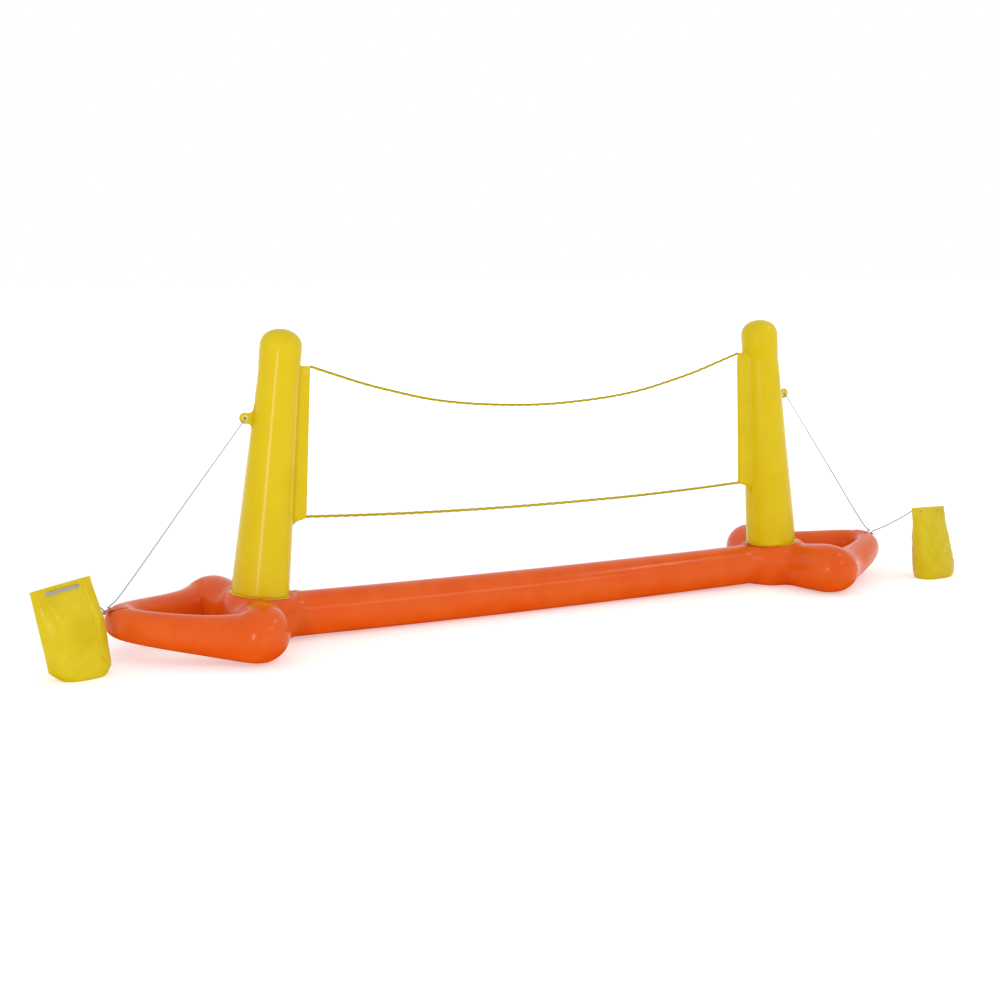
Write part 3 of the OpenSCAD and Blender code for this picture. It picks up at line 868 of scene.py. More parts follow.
@dataclass
class Boot:
    """Swollen drum under a pole, from the floor up to the pole's tilted foot."""

    stand: "PoleFrame"
    flat_r: float = 0.05
    belly_r: float = 0.094
    belly_z: float = 0.05546
    top_r: float = 0.07125
    top_z: float = 0.1416
    foot_gap: float = 0.0004
    around: int = 144
    low_rows: int = 14
    high_rows: int = 30
    level_steps: int = 8

    def radius(self, z: float) -> float:
        """Radius of the drum at a height."""
        if z <= self.belly_z:
            return lerp(self.flat_r, self.belly_r, math.sqrt(max(1 - (1 - z / self.belly_z) ** 2, 0)))
        sine = min((z - self.belly_z) / (self.top_z - self.belly_z), 1)
        return lerp(self.top_r, self.belly_r, math.sqrt(1 - sine**2))

    def foot_height(self, x: float) -> float:
        """Height of the underside of the pole's foot at x, on the right side."""
        tilt = math.radians(self.stand.lean)
        return self.stand.foot_z + (x - self.stand.foot_x) * math.tan(tilt) - self.foot_gap

    def build(self) -> Piece:
        """Turns the drum and cuts it level with the pole's foot.

        Returns:
            The drum's skin, closed at both ends.
        """
        s = self.stand.side.value
        columns = []
        for a in turns(self.around):
            heights = [self.belly_z * (1 - math.cos(math.pi / 2 * i / self.low_rows)) for i in range(self.low_rows)]
            z = self.stand.foot_z
            for _ in range(self.level_steps):
                z = self.foot_height(self.stand.foot_x + self.radius(z) * s * math.cos(a))
            heights += [lerp(self.belly_z, z, i / (self.high_rows - 1)) for i in range(self.high_rows)]
            circle = [(h, self.radius(h)) for h in heights]
            columns.append([
                Vector((s * self.stand.foot_x + r * math.cos(a), r * math.sin(a), h)) for h, r in circle
            ])
        hoops = [list(hoop) for hoop in zip(*columns)]
        return skinned(f"{self.stand.side.word}_boot_skin", hoops, "gather", 0.3)


@dataclass
class SwollenFloat:
    """The inflated form that tube, rings and boots make together, where each runs into the next in a soft fillet.

    Skins are shaped one by one first, and settled onto this form where they meet. Lengths are those of the right
    half, and the left half is its mirror image.
    """

    ring: FloatRing
    beam: FloatBeam
    boot: Boot
    ring_fillet: float = 0.055
    boot_fillet: float = 0.035
    low_share: float = 0.35
    samples: int = 400
    sampled_to: float = 1.06
    near_x: tuple[float, float] = (0.64, 1.0)
    near_y: float = 0.24
    reach: float = 0.06
    own_gap: float = 0.002
    pucker_max: float = 0.0015
    settle_steps: int = 5
    sunk_from: float = 0.001
    sunk_over: float = 0.024
    probe: float = 5e-5
    foot_r: float = 0.085
    foot_gap: float = 0.0004
    shoulder: float = 0.6
    press_low: float = 0.06
    ruck_r: float = 0.084
    ruck_len: float = 0.017
    ruck_depth: float = 0.0016

    def __post_init__(self) -> None:
        """Samples the ring's middle line near the pole, and the boot's radius by height."""
        near = [(m, r) for m, r in self.ring.centreline(self.samples) if m.x < self.sampled_to]
        self.middles = np.array([tuple(m) for m, _ in near])
        self.radii = np.array([r for _, r in near])
        self.boot_z = np.linspace(0, self.boot.top_z, 160)
        self.boot_r = np.array([self.boot.radius(z) for z in self.boot_z])
        self.boot_slope = np.clip(np.gradient(self.boot_r, self.boot_z), -3, 3)

    def to_ring(self, p: np.ndarray) -> np.ndarray:
        """Distance of each point from the ring's skin, negative inside."""
        gap = sum((p[:, k, None] - self.middles[None, :, k]) ** 2 for k in range(3))
        return np.min(np.sqrt(gap) - self.radii, axis=1)

    def to_beam(self, p: np.ndarray) -> np.ndarray:
        """Distance of each point from the tube's skin, negative inside."""
        middle = self.beam.diameter / 2 - self.beam.floor_cut + self.beam.bow * (p[:, 0] / self.ring.inner_x) ** 2
        side = np.hypot(p[:, 1], p[:, 2] - middle) - self.beam.diameter / 2
        end = p[:, 0] - self.ring.inner_x
        return np.minimum(np.maximum(side, end), 0) + np.hypot(np.maximum(side, 0), np.maximum(end, 0))

    def to_boot(self, p: np.ndarray) -> np.ndarray:
        """Distance of each point from the boot's skin, negative inside."""
        out = np.hypot(p[:, 0] - self.boot.stand.foot_x, p[:, 1]) - np.interp(p[:, 2], self.boot_z, self.boot_r)
        return out / np.sqrt(1 + np.interp(p[:, 2], self.boot_z, self.boot_slope) ** 2)

    @staticmethod
    def soft_union(a: np.ndarray, b: np.ndarray, width: np.ndarray) -> np.ndarray:
        """Lesser of two distances, rounded off where they are alike."""
        near = np.maximum(width - np.abs(a - b), 0) / width
        return np.minimum(a, b) - near**2 * width / 4

    def depth(self, p: np.ndarray) -> np.ndarray:
        """Distance of each point from the whole form, negative inside."""
        # The fillets are tight at the floor and fuller above
        fuller = self.low_share + (1 - self.low_share) * np.clip((p[:, 2] - 0.01) / 0.07, 0, 1)
        both = self.soft_union(self.to_ring(p), self.to_beam(p), self.ring_fillet * fuller)
        return self.soft_union(both, self.to_boot(p), self.boot_fillet * fuller)

    def slope(self, p: np.ndarray, depth: np.ndarray) -> np.ndarray:
        """Direction in which the form's distance grows fastest, at each point."""
        parts = [(self.depth(p + self.probe * np.eye(3)[k]) - depth) / self.probe for k in range(3)]
        return np.stack(parts, axis=1)

    def settle(self, piece: Piece, side: Side, own: str) -> None:
        """Moves a skin onto the form where another skin is near, and lets it sink where it is inside one.

        Args:
            piece: Skin of the ring, the tube or the boot.
            side: Half of the float to settle.
            own: Name of the skin's own shape: ring, beam or boot.
        """
        mesh = piece.data
        flat = np.empty(len(mesh.vertices) * 3)
        mesh.vertices.foreach_get("co", flat)
        half = flat.reshape(-1, 3) * (side.value, 1, 1)
        low, high = self.near_x
        near = np.nonzero((half[:, 0] > low) & (half[:, 0] < high) & (np.abs(half[:, 1]) < self.near_y))[0]
        p = half[near]
        gaps = {"ring": self.to_ring(p), "beam": self.to_beam(p), "boot": self.to_boot(p)}
        # The skin keeps its own puckers, and sinks where it lies inside itself at a tight bend
        puckers = gaps.pop(own)
        other = np.minimum(np.minimum(*gaps.values()), puckers + self.own_gap)
        close = other < self.reach
        near, p, other = near[close], p[close], other[close]
        puckers = np.clip(puckers[close], -self.pucker_max, 0)
        moved = p.copy()
        for _ in range(self.settle_steps):
            depth = self.depth(moved)
            slope = self.slope(moved, depth)
            moved -= ((depth - puckers) / np.maximum(np.sum(slope**2, axis=1), 0.2))[:, None] * slope
            moved[:, 2] = np.maximum(moved[:, 2], 0)
        keep = 1 - np.clip((-other - self.sunk_from) / self.sunk_over, 0, 1)
        half[near] = self.press(p + keep[:, None] * (moved - p))
        mesh.vertices.foreach_set("co", (half * (side.value, 1, 1)).ravel())
        mesh.update()

    def press(self, p: np.ndarray) -> np.ndarray:
        """Presses points down under the pole's foot and gathers the skin round it.

        Args:
            p: Points on the right side.

        Returns:
            The points, pressed.
        """
        stand = self.boot.stand
        tilt = math.radians(stand.lean)
        axis = np.array((-math.sin(tilt), 0, math.cos(tilt)))
        out = np.array((math.cos(tilt), 0, math.sin(tilt)))
        off = p - (stand.foot_x, 0, stand.foot_z)
        up, level, across = off @ axis, off @ out, off[:, 1]
        reach = np.hypot(level, across)
        ruck = self.ruck_depth * rucks(np.arctan2(across, level), 31, 1.7, 5) ** 2
        ruck *= np.exp(-(((reach - self.ruck_r) / self.ruck_len) ** 2)) * np.clip((up + 0.05) / 0.03, 0, 1)
        limit = -self.foot_gap + self.shoulder * np.maximum(reach - self.foot_r, 0)
        wanted = np.minimum(up, np.where(up > -self.press_low, limit, up)) - ruck
        return p + (wanted - up)[:, None] * axis


@dataclass
class PoleFrame:
    """Where a pole stands: the middle of its foot and its lean towards the other pole."""

    side: Side
    foot_x: float = 0.82
    foot_z: float = 0.12592
    lean: float = 6.2

    def place(self, outward: float, across: float, up: float) -> Vector:
        """Point at distances outwards, across the net and up the pole, in the row frame."""
        turn = math.radians(self.lean)
        x = self.foot_x + outward * math.cos(turn) - up * math.sin(turn)
        z = self.foot_z + outward * math.sin(turn) + up * math.cos(turn)
        return Vector((self.side.value * x, across, z))

    def hoop(self, radius: float, up: float, around: int) -> Hoop:
        """Circle round the pole's axis, anticlockwise seen from above."""
        s = self.side.value
        return [self.place(s * radius * math.cos(a), radius * math.sin(a), up) for a in turns(around)]


@dataclass
class Pole:
    """Tapered pole with a domed top, standing on its weld flange and boot."""

    stand: PoleFrame
    length: float = 0.683
    foot_d: float = 0.15
    top_d: float = 0.1
    foot_round: float = 0.005
    foot_rows: int = 8
    head_swell: float = 0.004
    head_len: float = 0.07
    dome_h: float = 0.045
    dome_full: float = 0.95
    dome_rows: int = 15
    side_rows: int = 60
    disc_radii: tuple[float, ...] = (0.012, 0.03, 0.05, 0.06)
    sheet: float = 0.002
    ruck_depth: float = 0.0009
    foot_rucks: float = 0.02
    head_rucks: float = 0.016
    weld_lip: float = 0.0025
    weld_in: float = 0.019
    around: int = 96
    lip_around: int = 132

    @property
    def side(self) -> Side:
        """Side that the pole stands on."""
        return self.stand.side

    @property
    def taper(self) -> float:
        """Length of the pole under its dome."""
        return self.length - self.dome_h

    def radius(self, up: float) -> float:
        """Radius of the pole at a height along it, a little fuller under the dome than the taper gives."""
        head = min(max((up - self.taper + self.head_len) / self.head_len, 0), 1)
        return lerp(self.foot_d / 2, self.top_d / 2, up / self.taper) + self.head_swell * math.sin(head * math.pi / 2)

    def profile(self) -> list[tuple[float, float, float]]:
        """Radius, height and depth of the gathers at each row, from the foot to the dome."""
        rows = [(r, self.sheet, 0.0) for r in self.disc_radii]
        for i in range(self.foot_rows + 1):
            a = math.pi / 2 * (i / self.foot_rows - 1)
            r = self.radius(0) + self.foot_round * (math.cos(a) - 1)
            rows.append((r, self.sheet + self.foot_round * (1 + math.sin(a)), 0.0006 * i / self.foot_rows))
        start = self.sheet + self.foot_round
        for i in range(1, self.side_rows):
            up = lerp(start, self.taper, i / self.side_rows)
            near = bell(up - start, self.foot_rucks) + bell(self.taper - up, self.head_rucks)
            rows.append((self.radius(up), up, self.ruck_depth * near))
        for i in range(self.dome_rows):
            a = math.pi / 2 * i / (self.dome_rows + 0.2)
            r = self.radius(self.taper) * math.cos(a) ** self.dome_full
            rows.append((r, self.taper + self.dome_h * math.sin(a) ** self.dome_full, 0.0011 * math.exp(-i / 4)))
        return rows

    def build_pole(self) -> Piece:
        """Makes the pole's skin with the gathers of its end discs."""
        rows, hoops = self.profile(), []
        for r, up, depth in rows:
            hoop = []
            for a in turns(self.around):
                d = r - depth * rucks(a, 31, 1.6, 7) ** 2
                hoop.append(self.stand.place(self.side.value * d * math.cos(a), d * math.sin(a), up))
            hoops.append(hoop)
        marks = [[min(depth / self.ruck_depth, 1)] * self.around for _, _, depth in rows]
        pole = skinned(f"{self.side.word}_pole_skin", hoops, "gather", marks)
        shade(pole, 60)
        return pole

    def build_flange(self) -> Piece:
        """Makes the welded lip round the foot: a thin flat ring with a rounded rim."""
        outer = self.foot_d / 2 + self.weld_lip
        inner = self.foot_d / 2 - self.weld_in
        t = self.sheet / 2
        ring = [(inner, -t), (outer - t, -t)]
        ring += [(outer - t + t * math.cos(b), t * math.sin(b)) for b in (-0.8, 0, 0.8)]
        ring += [(outer - t, t), (inner, t), (inner, 0)]
        hoops = [
            [self.stand.place(r * math.cos(a), r * math.sin(a), t + z) for r, z in ring] for a in turns(self.lip_around)
        ]
        return face_and_shade(skinned(f"{self.side.word}_foot_lip", hoops, closed=True), 40)


@dataclass
class NetSleeve:
    """Welded sleeve on the inner side of a pole, which takes the edge of the net."""

    pole: Pole
    drop: float = 0.089
    length: float = 0.395
    top_out: float = 0.029
    low_out: float = 0.041
    thick: float = 0.022
    fillet: float = 0.03
    root_angle: float = 25
    neck: float = 0.012
    edge_sink: float = 0.004
    rows: int = 64
    nose_steps: int = 8
    side_steps: int = 12

    @property
    def top(self) -> float:
        """Height of the sleeve's upper end along the pole."""
        return self.pole.length - self.drop

    def outer(self, up: float) -> float:
        """Distance of the sleeve's outer edge from the pole's axis at a height."""
        low = self.top - self.length
        top_u = self.pole.radius(self.top) + self.top_out
        low_u = self.pole.radius(low) + self.low_out
        if up >= low:
            return lerp(low_u, top_u, (up - low) / self.length)
        share = (up - low + self.fillet) / self.fillet
        return lerp(self.pole.radius(up) + 0.001, low_u, 1 - math.sqrt(max(1 - share * share, 0)))

    def section(self, radius: float, outer: float, half: float, flare: float) -> list[tuple[float, float]]:
        """Closed section of the sleeve.

        Args:
            radius: Radius of the pole.
            outer: Distance of the folded edge from the pole's axis.
            half: Half the thickness of the lobe.
            flare: Angle on the pole at which the sleeve's skin leaves it.

        Returns:
            Distances from the axis towards the net and across it.
        """
        out = max(outer - radius, 0.0012)
        nose = min(half, out * 0.45)
        side = []
        for i in range(self.nose_steps + 1):
            a = math.pi / 2 * i / self.nose_steps
            side.append((outer - nose + nose * math.cos(a), half * math.sin(a)))
        near = (radius + min(self.neck, out * 0.4), half * 0.92)
        end = (radius * math.cos(flare), radius * math.sin(flare))
        reach = 0.4 * math.hypot(end[0] - near[0], end[1] - near[1])
        low = (near[0] - reach, near[1])
        high = (end[0] + reach * math.sin(flare), end[1] - reach * math.cos(flare))
        for i in range(self.side_steps + 1):
            t = i / self.side_steps
            weights = ((1 - t) ** 3, 3 * (1 - t) ** 2 * t, 3 * (1 - t) * t * t, t**3)
            side.append(tuple(sum(w * p[k] for w, p in zip(weights, (near, low, high, end))) for k in range(2)))
        sunk = end[0] - self.edge_sink
        side += [(end[0] - 0.003, end[1] * 0.95), (sunk, end[1] * 0.5)]
        return side + [(sunk, 0.0)] + [(u, -v) for u, v in reversed(side[1:])]

    def build(self) -> Piece:
        """Makes the sleeve, a soft lobe from the pole's skin to its folded edge."""
        root = self.top - self.length - self.fillet
        s = self.pole.side.value
        hoops = []
        for i in range(self.rows):
            up = lerp(root, self.top, (i / (self.rows - 1)) ** 1.3)
            # The sleeve narrows to its welded rim at the upper end, and its root runs out onto the pole
            half = self.thick / 2 * (0.35 + 0.65 * smooth((self.top - up) / 0.03))
            half *= 0.45 + 0.55 * smooth((up - root) / 0.04)
            flare = math.radians(self.root_angle) * smooth((up - root) / 0.05)
            flare *= 0.4 + 0.6 * smooth((self.top - up) / 0.02)
            section = self.section(self.pole.radius(up), self.outer(up), half, max(flare, 0.02))
            hoops.append([self.pole.stand.place(-u, s * v, up) for u, v in section])
        return face_and_shade(skinned(f"{self.pole.side.word}_sleeve_skin", hoops, "gather", 0.25), 50)


# ======================= cords =======================


Route = Sequence[tuple[float, float, float]]
# Distance of a strand's middle from the cord's, in radii of a strand
STRAND_OUT = 1.1547

@dataclass
class LaidCord:
    """Three-strand cord along a route."""

    name: str
    route: Route
    diameter: float
    lay: Lay
    finish: Material
    body: str
    node: str
    slot: str
    sides: int = 24
    rows_per_lay: int = 11
    lay_share: float = 3.4
    groove_floor: float = 0.76

    def strand(self, turn: float) -> float:
        """Share of the full radius at an angle from the nearest strand's crest."""
        angle = (turn + math.pi / 3) % (TAU / 3) - math.pi / 3
        rest = max(1 - (STRAND_OUT * math.sin(angle)) ** 2, 0)
        return max((STRAND_OUT * math.cos(angle) + math.sqrt(rest)) / (1 + STRAND_OUT), self.groove_floor)

    def build(self, knots: Sequence[Piece] = ()) -> None:
        """Args:
            knots: Knots that go with the cord; not used.
        """
        points = [Vector(p) / 1000 for p in self.route]
        rows = max(int(length_of(points) / (self.lay_share * self.diameter) * self.rows_per_lay), 12)
        line = spline(points, rows)
        hoops, groove_shades = [], []
        across = across_of(way_of(line, 0))
        for i, middle in enumerate(line):
            way = way_of(line, i)
            across = (across - across.dot(way) * way).normalized()
            lift = way.cross(across)
            shares = [self.strand(a - TAU * i / self.rows_per_lay) for a in turns(self.sides)]
            hoops.append([
                middle + self.diameter / 2 * share * (math.cos(a) * across + math.sin(a) * lift)
                for a, share in zip(turns(self.sides), shares)
            ])
            # Painted shade: how far each point lies down in a groove between strands, for the cord's darker groove
            # colour
            groove_shades.append([smooth((0.97 - share) / 0.2) for share in shares])
        cord = skinned(self.name, hoops, "groove", groove_shades)
        shade(cord, 70)
        place(cord, self.finish, self.body, self.node, self.slot)


def both_ways(half: Route) -> Route:
    """Whole route of a net cord from its right half."""
    return [(-x, y, z) for x, y, z in reversed(half[1:])] + list(half)


def to_side(route: Route, side: Side) -> Route:
    """Route of the right side, mirrored where the left one is asked for."""
    return [(side.value * x, y, z) for x, y, z in route]


# Routes of the cords, in millimetres
UPPER_NET_CORD = both_ways([
    (0, 0, 582), (120, 0, 586), (240, 0, 596), (340, 0, 611), (430, 0, 632), (520, 0, 656), (600, 0, 682),
    (674, 0, 707),
])
LOWER_NET_CORD = both_ways([(0, 0, 300), (170, 0, 301), (340, 0, 304), (520, 0, 310), (690, 0, 318)])
GUY_CORD = [
    (850, 2, 582), (850, -1, 582), (852, -5, 579), (860, -5, 569), (998.6, -2.9, 391.76), (1190, 0, 147),
    (1202, 0, 137), (1207, 0, 134),
]
TETHERS = {
    Side.LEFT: [
        (-1220, 0, 118), (-1220, 0, 122), (-1223, -4, 127), (-1235, -20, 139), (-1255, -45, 157),
        (-1275, -68, 176), (-1296, -90.5, 198), (-1308.5, -103.5, 216.5), (-1312.9, -114.1, 224),
    ],
    Side.RIGHT: [
        (1220, 0, 118), (1220, 0, 122), (1221, -5, 127), (1226, -28, 139), (1233.5, -60, 156),
        (1240.5, -90, 174.5), (1248, -120, 194.5), (1254, -141.2, 210), (1255.7, -151.5, 217.4),
    ],
}
# Middles of the knots, in metres: at the guy tab, on the anchor tab, under it and at each bag
GUY_TAB_KNOT = Vector((0.85, 0.006, 0.582))
ANCHOR_KNOT = Vector((1.208, 0, 0.1305))
TETHER_KNOT = Vector((1.22, 0, 0.1168))
BAG_KNOTS = {Side.LEFT: Vector((-1.3121, -0.1197, 0.2213)), Side.RIGHT: Vector((1.2567, -0.1578, 0.2173))}
# Sizes of a knot that lies on a tab and of one against an eyelet or a bag
FLAT_KNOT, TAB_KNOT, BAG_KNOT = 0.0085, 0.0112, 0.011


@dataclass
class Knot:
    """Overhand stopper knot: a cord wound round itself in a trefoil."""

    centre: Vector
    axis: Vector
    size: float
    cord_d: float = 0.0035
    count: int = 96
    around: int = 12

    def build(self, name: str) -> Piece:
        """Makes the knot as a closed tube along a flattened trefoil."""
        hoops, line = [], []
        scale = (self.size - self.cord_d) / 2 / 2.6
        turn = UP.rotation_difference(self.axis).to_matrix()
        for t in turns(self.count):
            p = Vector((math.sin(t) + 2 * math.sin(2 * t), math.cos(t) - 2 * math.cos(2 * t), -math.sin(3 * t) * 1.5))
            line.append(self.centre + turn @ (p * scale))
        for i, middle in enumerate(line):
            way = (line[(i + 1) % self.count] - line[i - 1]).normalized()
            across = across_of(way)
            lift = way.cross(across)
            r = self.cord_d / 2
            hoops.append([middle + r * (-math.cos(a) * across + math.sin(a) * lift) for a in turns(self.around)])
        # Painted shade: the whole knot is drawn 0.3 of the way to the cord's groove colour, for the shade among its
        # turns
        return face_and_shade(skinned(name, hoops, "groove", 0.3, closed=True), 70)


# ======================= weight bags =======================


@dataclass
class WeightBag:
    """Water-filled bag that lies beside the float: a full bottom under a flat welded upper edge."""

    side: Side
    reach: float
    bearing: float
    lean: float
    turn: float
    tilt: float
    lacing_face: int
    height: float = 0.23
    width: float = 0.156
    deep: float = 0.092
    mouth_t: float = 0.005
    slot_drop: float = 0.0135
    slot_pitch: float = 0.076
    slot_d: float = 0.008
    slot_sides: int = 32
    cord_d: float = 0.0035
    square: float = 2.6
    lean_power: float = 1.2
    float_half: float = 1.22
    around: int = 144
    rows: int = 150
    corner_cut: tuple[float, float] = (0.24, 0.24)
    corner_h: float = 0.1
    near_swell: float = 0.0
    far_swell: float = 0.0
    swell_at: float = 0.56
    swell_h: float = 0.2
    fin: float = 0.004
    fin_turn: float = 0.2
    flute_pitch: float = 0.0165
    seam_at: float = 0.945

    # Share of the height, of the half width and of the half depth
    PROFILE = (
        (0, 0.93, 0.78), (0.02, 0.97, 0.92), (0.06, 0.99, 0.99), (0.14, 1, 1), (0.3, 1, 0.96), (0.45, 1, 0.86),
        (0.6, 0.99, 0.70), (0.75, 0.97, 0.47), (0.87, 0.955, 0.24), (0.93, 0.945, 0.09), (0.96, 0.943, 0.05),
        (1, 0.942, 0.05),
    )
    # Long soft folds of a broad face: distance along the face and height of the middle, direction in degrees,
    # length, width and depth
    FOLDS = (
        (-0.020, 0.085, -42, 0.060, 0.009, 0.0030), (0.022, 0.060, -38, 0.045, 0.007, 0.0022),
        (0.034, 0.150, 82, 0.050, 0.008, 0.0026), (-0.044, 0.135, 98, 0.045, 0.009, 0.0020),
        (0.000, 0.125, 24, 0.050, 0.011, 0.0018), (0.045, 0.075, 64, 0.040, 0.007, 0.0022),
        (-0.048, 0.045, 52, 0.032, 0.006, 0.0020), (0.012, 0.165, 96, 0.030, 0.006, 0.0016),
    )

    def frame_at(self, u: float, v: float, w: float) -> Vector:
        """Point of the bag's own frame in the row frame: u along its broad face, v in depth, w up."""
        b, t = math.radians(self.bearing), math.radians(-self.turn)
        x = self.float_half + self.reach * math.cos(b) + u * math.cos(t) - v * math.sin(t)
        y = -self.reach * math.sin(b) + u * math.sin(t) + v * math.cos(t)
        return Vector((self.side.value * x, y, w))

    def share(self, t: float) -> tuple[float, float]:
        """Half width and half depth at a share of the height."""
        rows = self.PROFILE
        i = max(k for k in range(len(rows) - 1) if rows[k][0] <= t)
        f = (t - rows[i][0]) / (rows[i + 1][0] - rows[i][0])
        a = lerp(rows[i][1], rows[i + 1][1], f) * self.width / 2
        return a, max(lerp(rows[i][2], rows[i + 1][2], f) * self.deep, self.mouth_t) / 2

    def shift(self, t: float) -> float:
        """How far the bag leans along its face at a share of its height."""
        return self.lean * t**self.lean_power

    def skin(self, t: float, q: float) -> Vector:
        """Point of the bag's skin at a share of its height and an angle from +u towards +v."""
        a, b = self.share(t)
        depth = self.creases(t, q)
        power = 2 / self.square
        u = (a - depth) * math.copysign(abs(math.cos(q)) ** power, math.cos(q))
        v = (b - depth) * math.copysign(abs(math.sin(q)) ** power, math.sin(q))
        # Swell of each side, cut-off lower corners, and the flat weld along each side edge
        u *= 1 - 0.7 * self.fin / a
        u *= 1 + (self.near_swell if u < 0 else self.far_swell) * bell(t - self.swell_at, self.swell_h)
        u *= 1 - self.corner_cut[u > 0] * max(1 - t / self.corner_h, 0)
        edge = (1 - smooth(abs(math.sin(q)) / self.fin_turn)) * smooth(t / 0.08)
        v *= 1 - 0.75 * edge
        u += math.copysign(self.fin * edge, u)
        rise = u * t * t * math.tan(math.radians(self.tilt))
        return self.frame_at(self.shift(t) + u, v, self.height * t + rise)

    def creases(self, t: float, q: float) -> float:
        """Depth of the soft folds at a point of the skin."""
        u, w = self.share(t)[0] * math.cos(q), self.height * t
        face = math.copysign(1, math.sin(q))
        seed = 3.7 if self.side is Side.LEFT else 9.1
        depth = 0.0012
        for x, z, way, length, width, deep in self.FOLDS:
            c, d = math.cos(math.radians(way)), math.sin(math.radians(way))
            off_u, off_w = face * self.side.value * u - x, w - z
            along, across = off_u * c + off_w * d, off_w * c - off_u * d
            across += 0.012 * (along / length) ** 2
            # A fold is a valley with a fuller ridge beside it
            valley = bell(across, width) - 0.55 * bell(across - 1.7 * width, width)
            depth += deep * valley * bell(along, 0.6 * length)
        # Flutes under the mouth and above the bottom, then crumple in three sizes
        flute = 0.5 + 0.5 * math.sin(TAU * u / self.flute_pitch + 1.8 * math.sin(47 * u + seed))
        depth += 0.0013 * flute * bell(t - 0.84, 0.11)
        crumple = (
            (0.0014 * flute * bell(t - 0.16, 0.1), (u * 31, w * 22, seed)),
            (0.0011, (u * 75, w * 60, seed * 2 + face)),
        )
        depth += sum(deep * noise.noise(Vector(spot)) for deep, spot in crumple)
        depth += 0.0024 * abs(noise.noise(Vector((u * 27 + w * 14, w * 12 - u * 9, seed + face))))
        full = smooth(t / 0.06) * smooth((0.965 - t) / 0.08) * smooth(abs(math.sin(q)) / 0.35)
        return full * depth + 0.0006 * bell(t - self.seam_at, 0.004)

    def build(self) -> Piece:
        """Makes the bag's skin and cuts its two lacing slots."""
        hoops = []
        for i in range(self.rows):
            t = i / (self.rows - 1)
            t = t * 0.5 + 0.5 * smooth(t)
            # The left bag is a mirror image, so its hoops turn the other way
            angles = [a if self.side is Side.RIGHT else math.pi - a for a in turns(self.around)]
            hoops.append([self.skin(t, q) for q in angles])
        bag = skinned(f"{self.side.word}_bag_skin", hoops, "gather", 0.8)
        face_outwards(bag)
        turn = Euler((math.pi / 2, 0, math.radians(-self.turn) * self.side.value))
        slope = math.tan(math.radians(self.tilt))
        for u in (-self.slot_pitch / 2, self.slot_pitch / 2):
            at = self.frame_at(self.shift(self.slot_t) + u, 0, self.height * self.slot_t + u * slope)
            bore(bag, self.slot_sides, self.slot_d / 2, self.deep, at, turn)
        shade(bag, 50)
        return bag

    @property
    def slot_t(self) -> float:
        """Share of the height that the lacing slots are at."""
        return 1 - self.slot_drop / self.height

    def lacing(self) -> list[Route]:
        """Routes of the two strands that run from slot to slot, in millimetres."""
        out = self.share(self.slot_t)[1] + 1.2 * self.cord_d
        shape = [(-0.5, -0.2), (-0.5, 0.8), (-0.44, 0.98), (0, 1), (0.44, 0.98), (0.5, 0.8), (0.5, -0.2)]
        c, d = math.cos(math.radians(self.tilt)), math.sin(math.radians(self.tilt))
        routes = []
        for lift in (-0.53 * self.cord_d, 0.53 * self.cord_d):
            route = []
            for p, q in shape:
                u = p * self.slot_pitch / c
                x, w = u * c - lift * d, u * d + lift * c
                point = self.frame_at(
                    self.shift(self.slot_t) + x, -self.lacing_face * q * out, self.height * self.slot_t + w
                )
                route.append(tuple(1000 * point))
            routes.append(route)
        return routes


# ======================= studio =======================


@dataclass(frozen=True)
class Lamp:
    """Soft rectangular lamp, turned to a point of the set."""

    name: str
    place: tuple[float, float, float]
    size: tuple[float, float]
    power: float
    aim: tuple[float, float, float]

    def build(self) -> None:
        """Hangs the lamp."""
        light = bpy.data.lights.new(self.name, "AREA")
        light.shape, light.size, light.size_y, light.energy = "RECTANGLE", *self.size, self.power
        lamp = bpy.data.objects.new(self.name, light)
        lamp.location = self.place
        lamp.rotation_euler = (Vector(self.aim) - Vector(self.place)).to_track_quat("-Z", "Y").to_euler()
        bpy.context.scene.collection.objects.link(lamp)


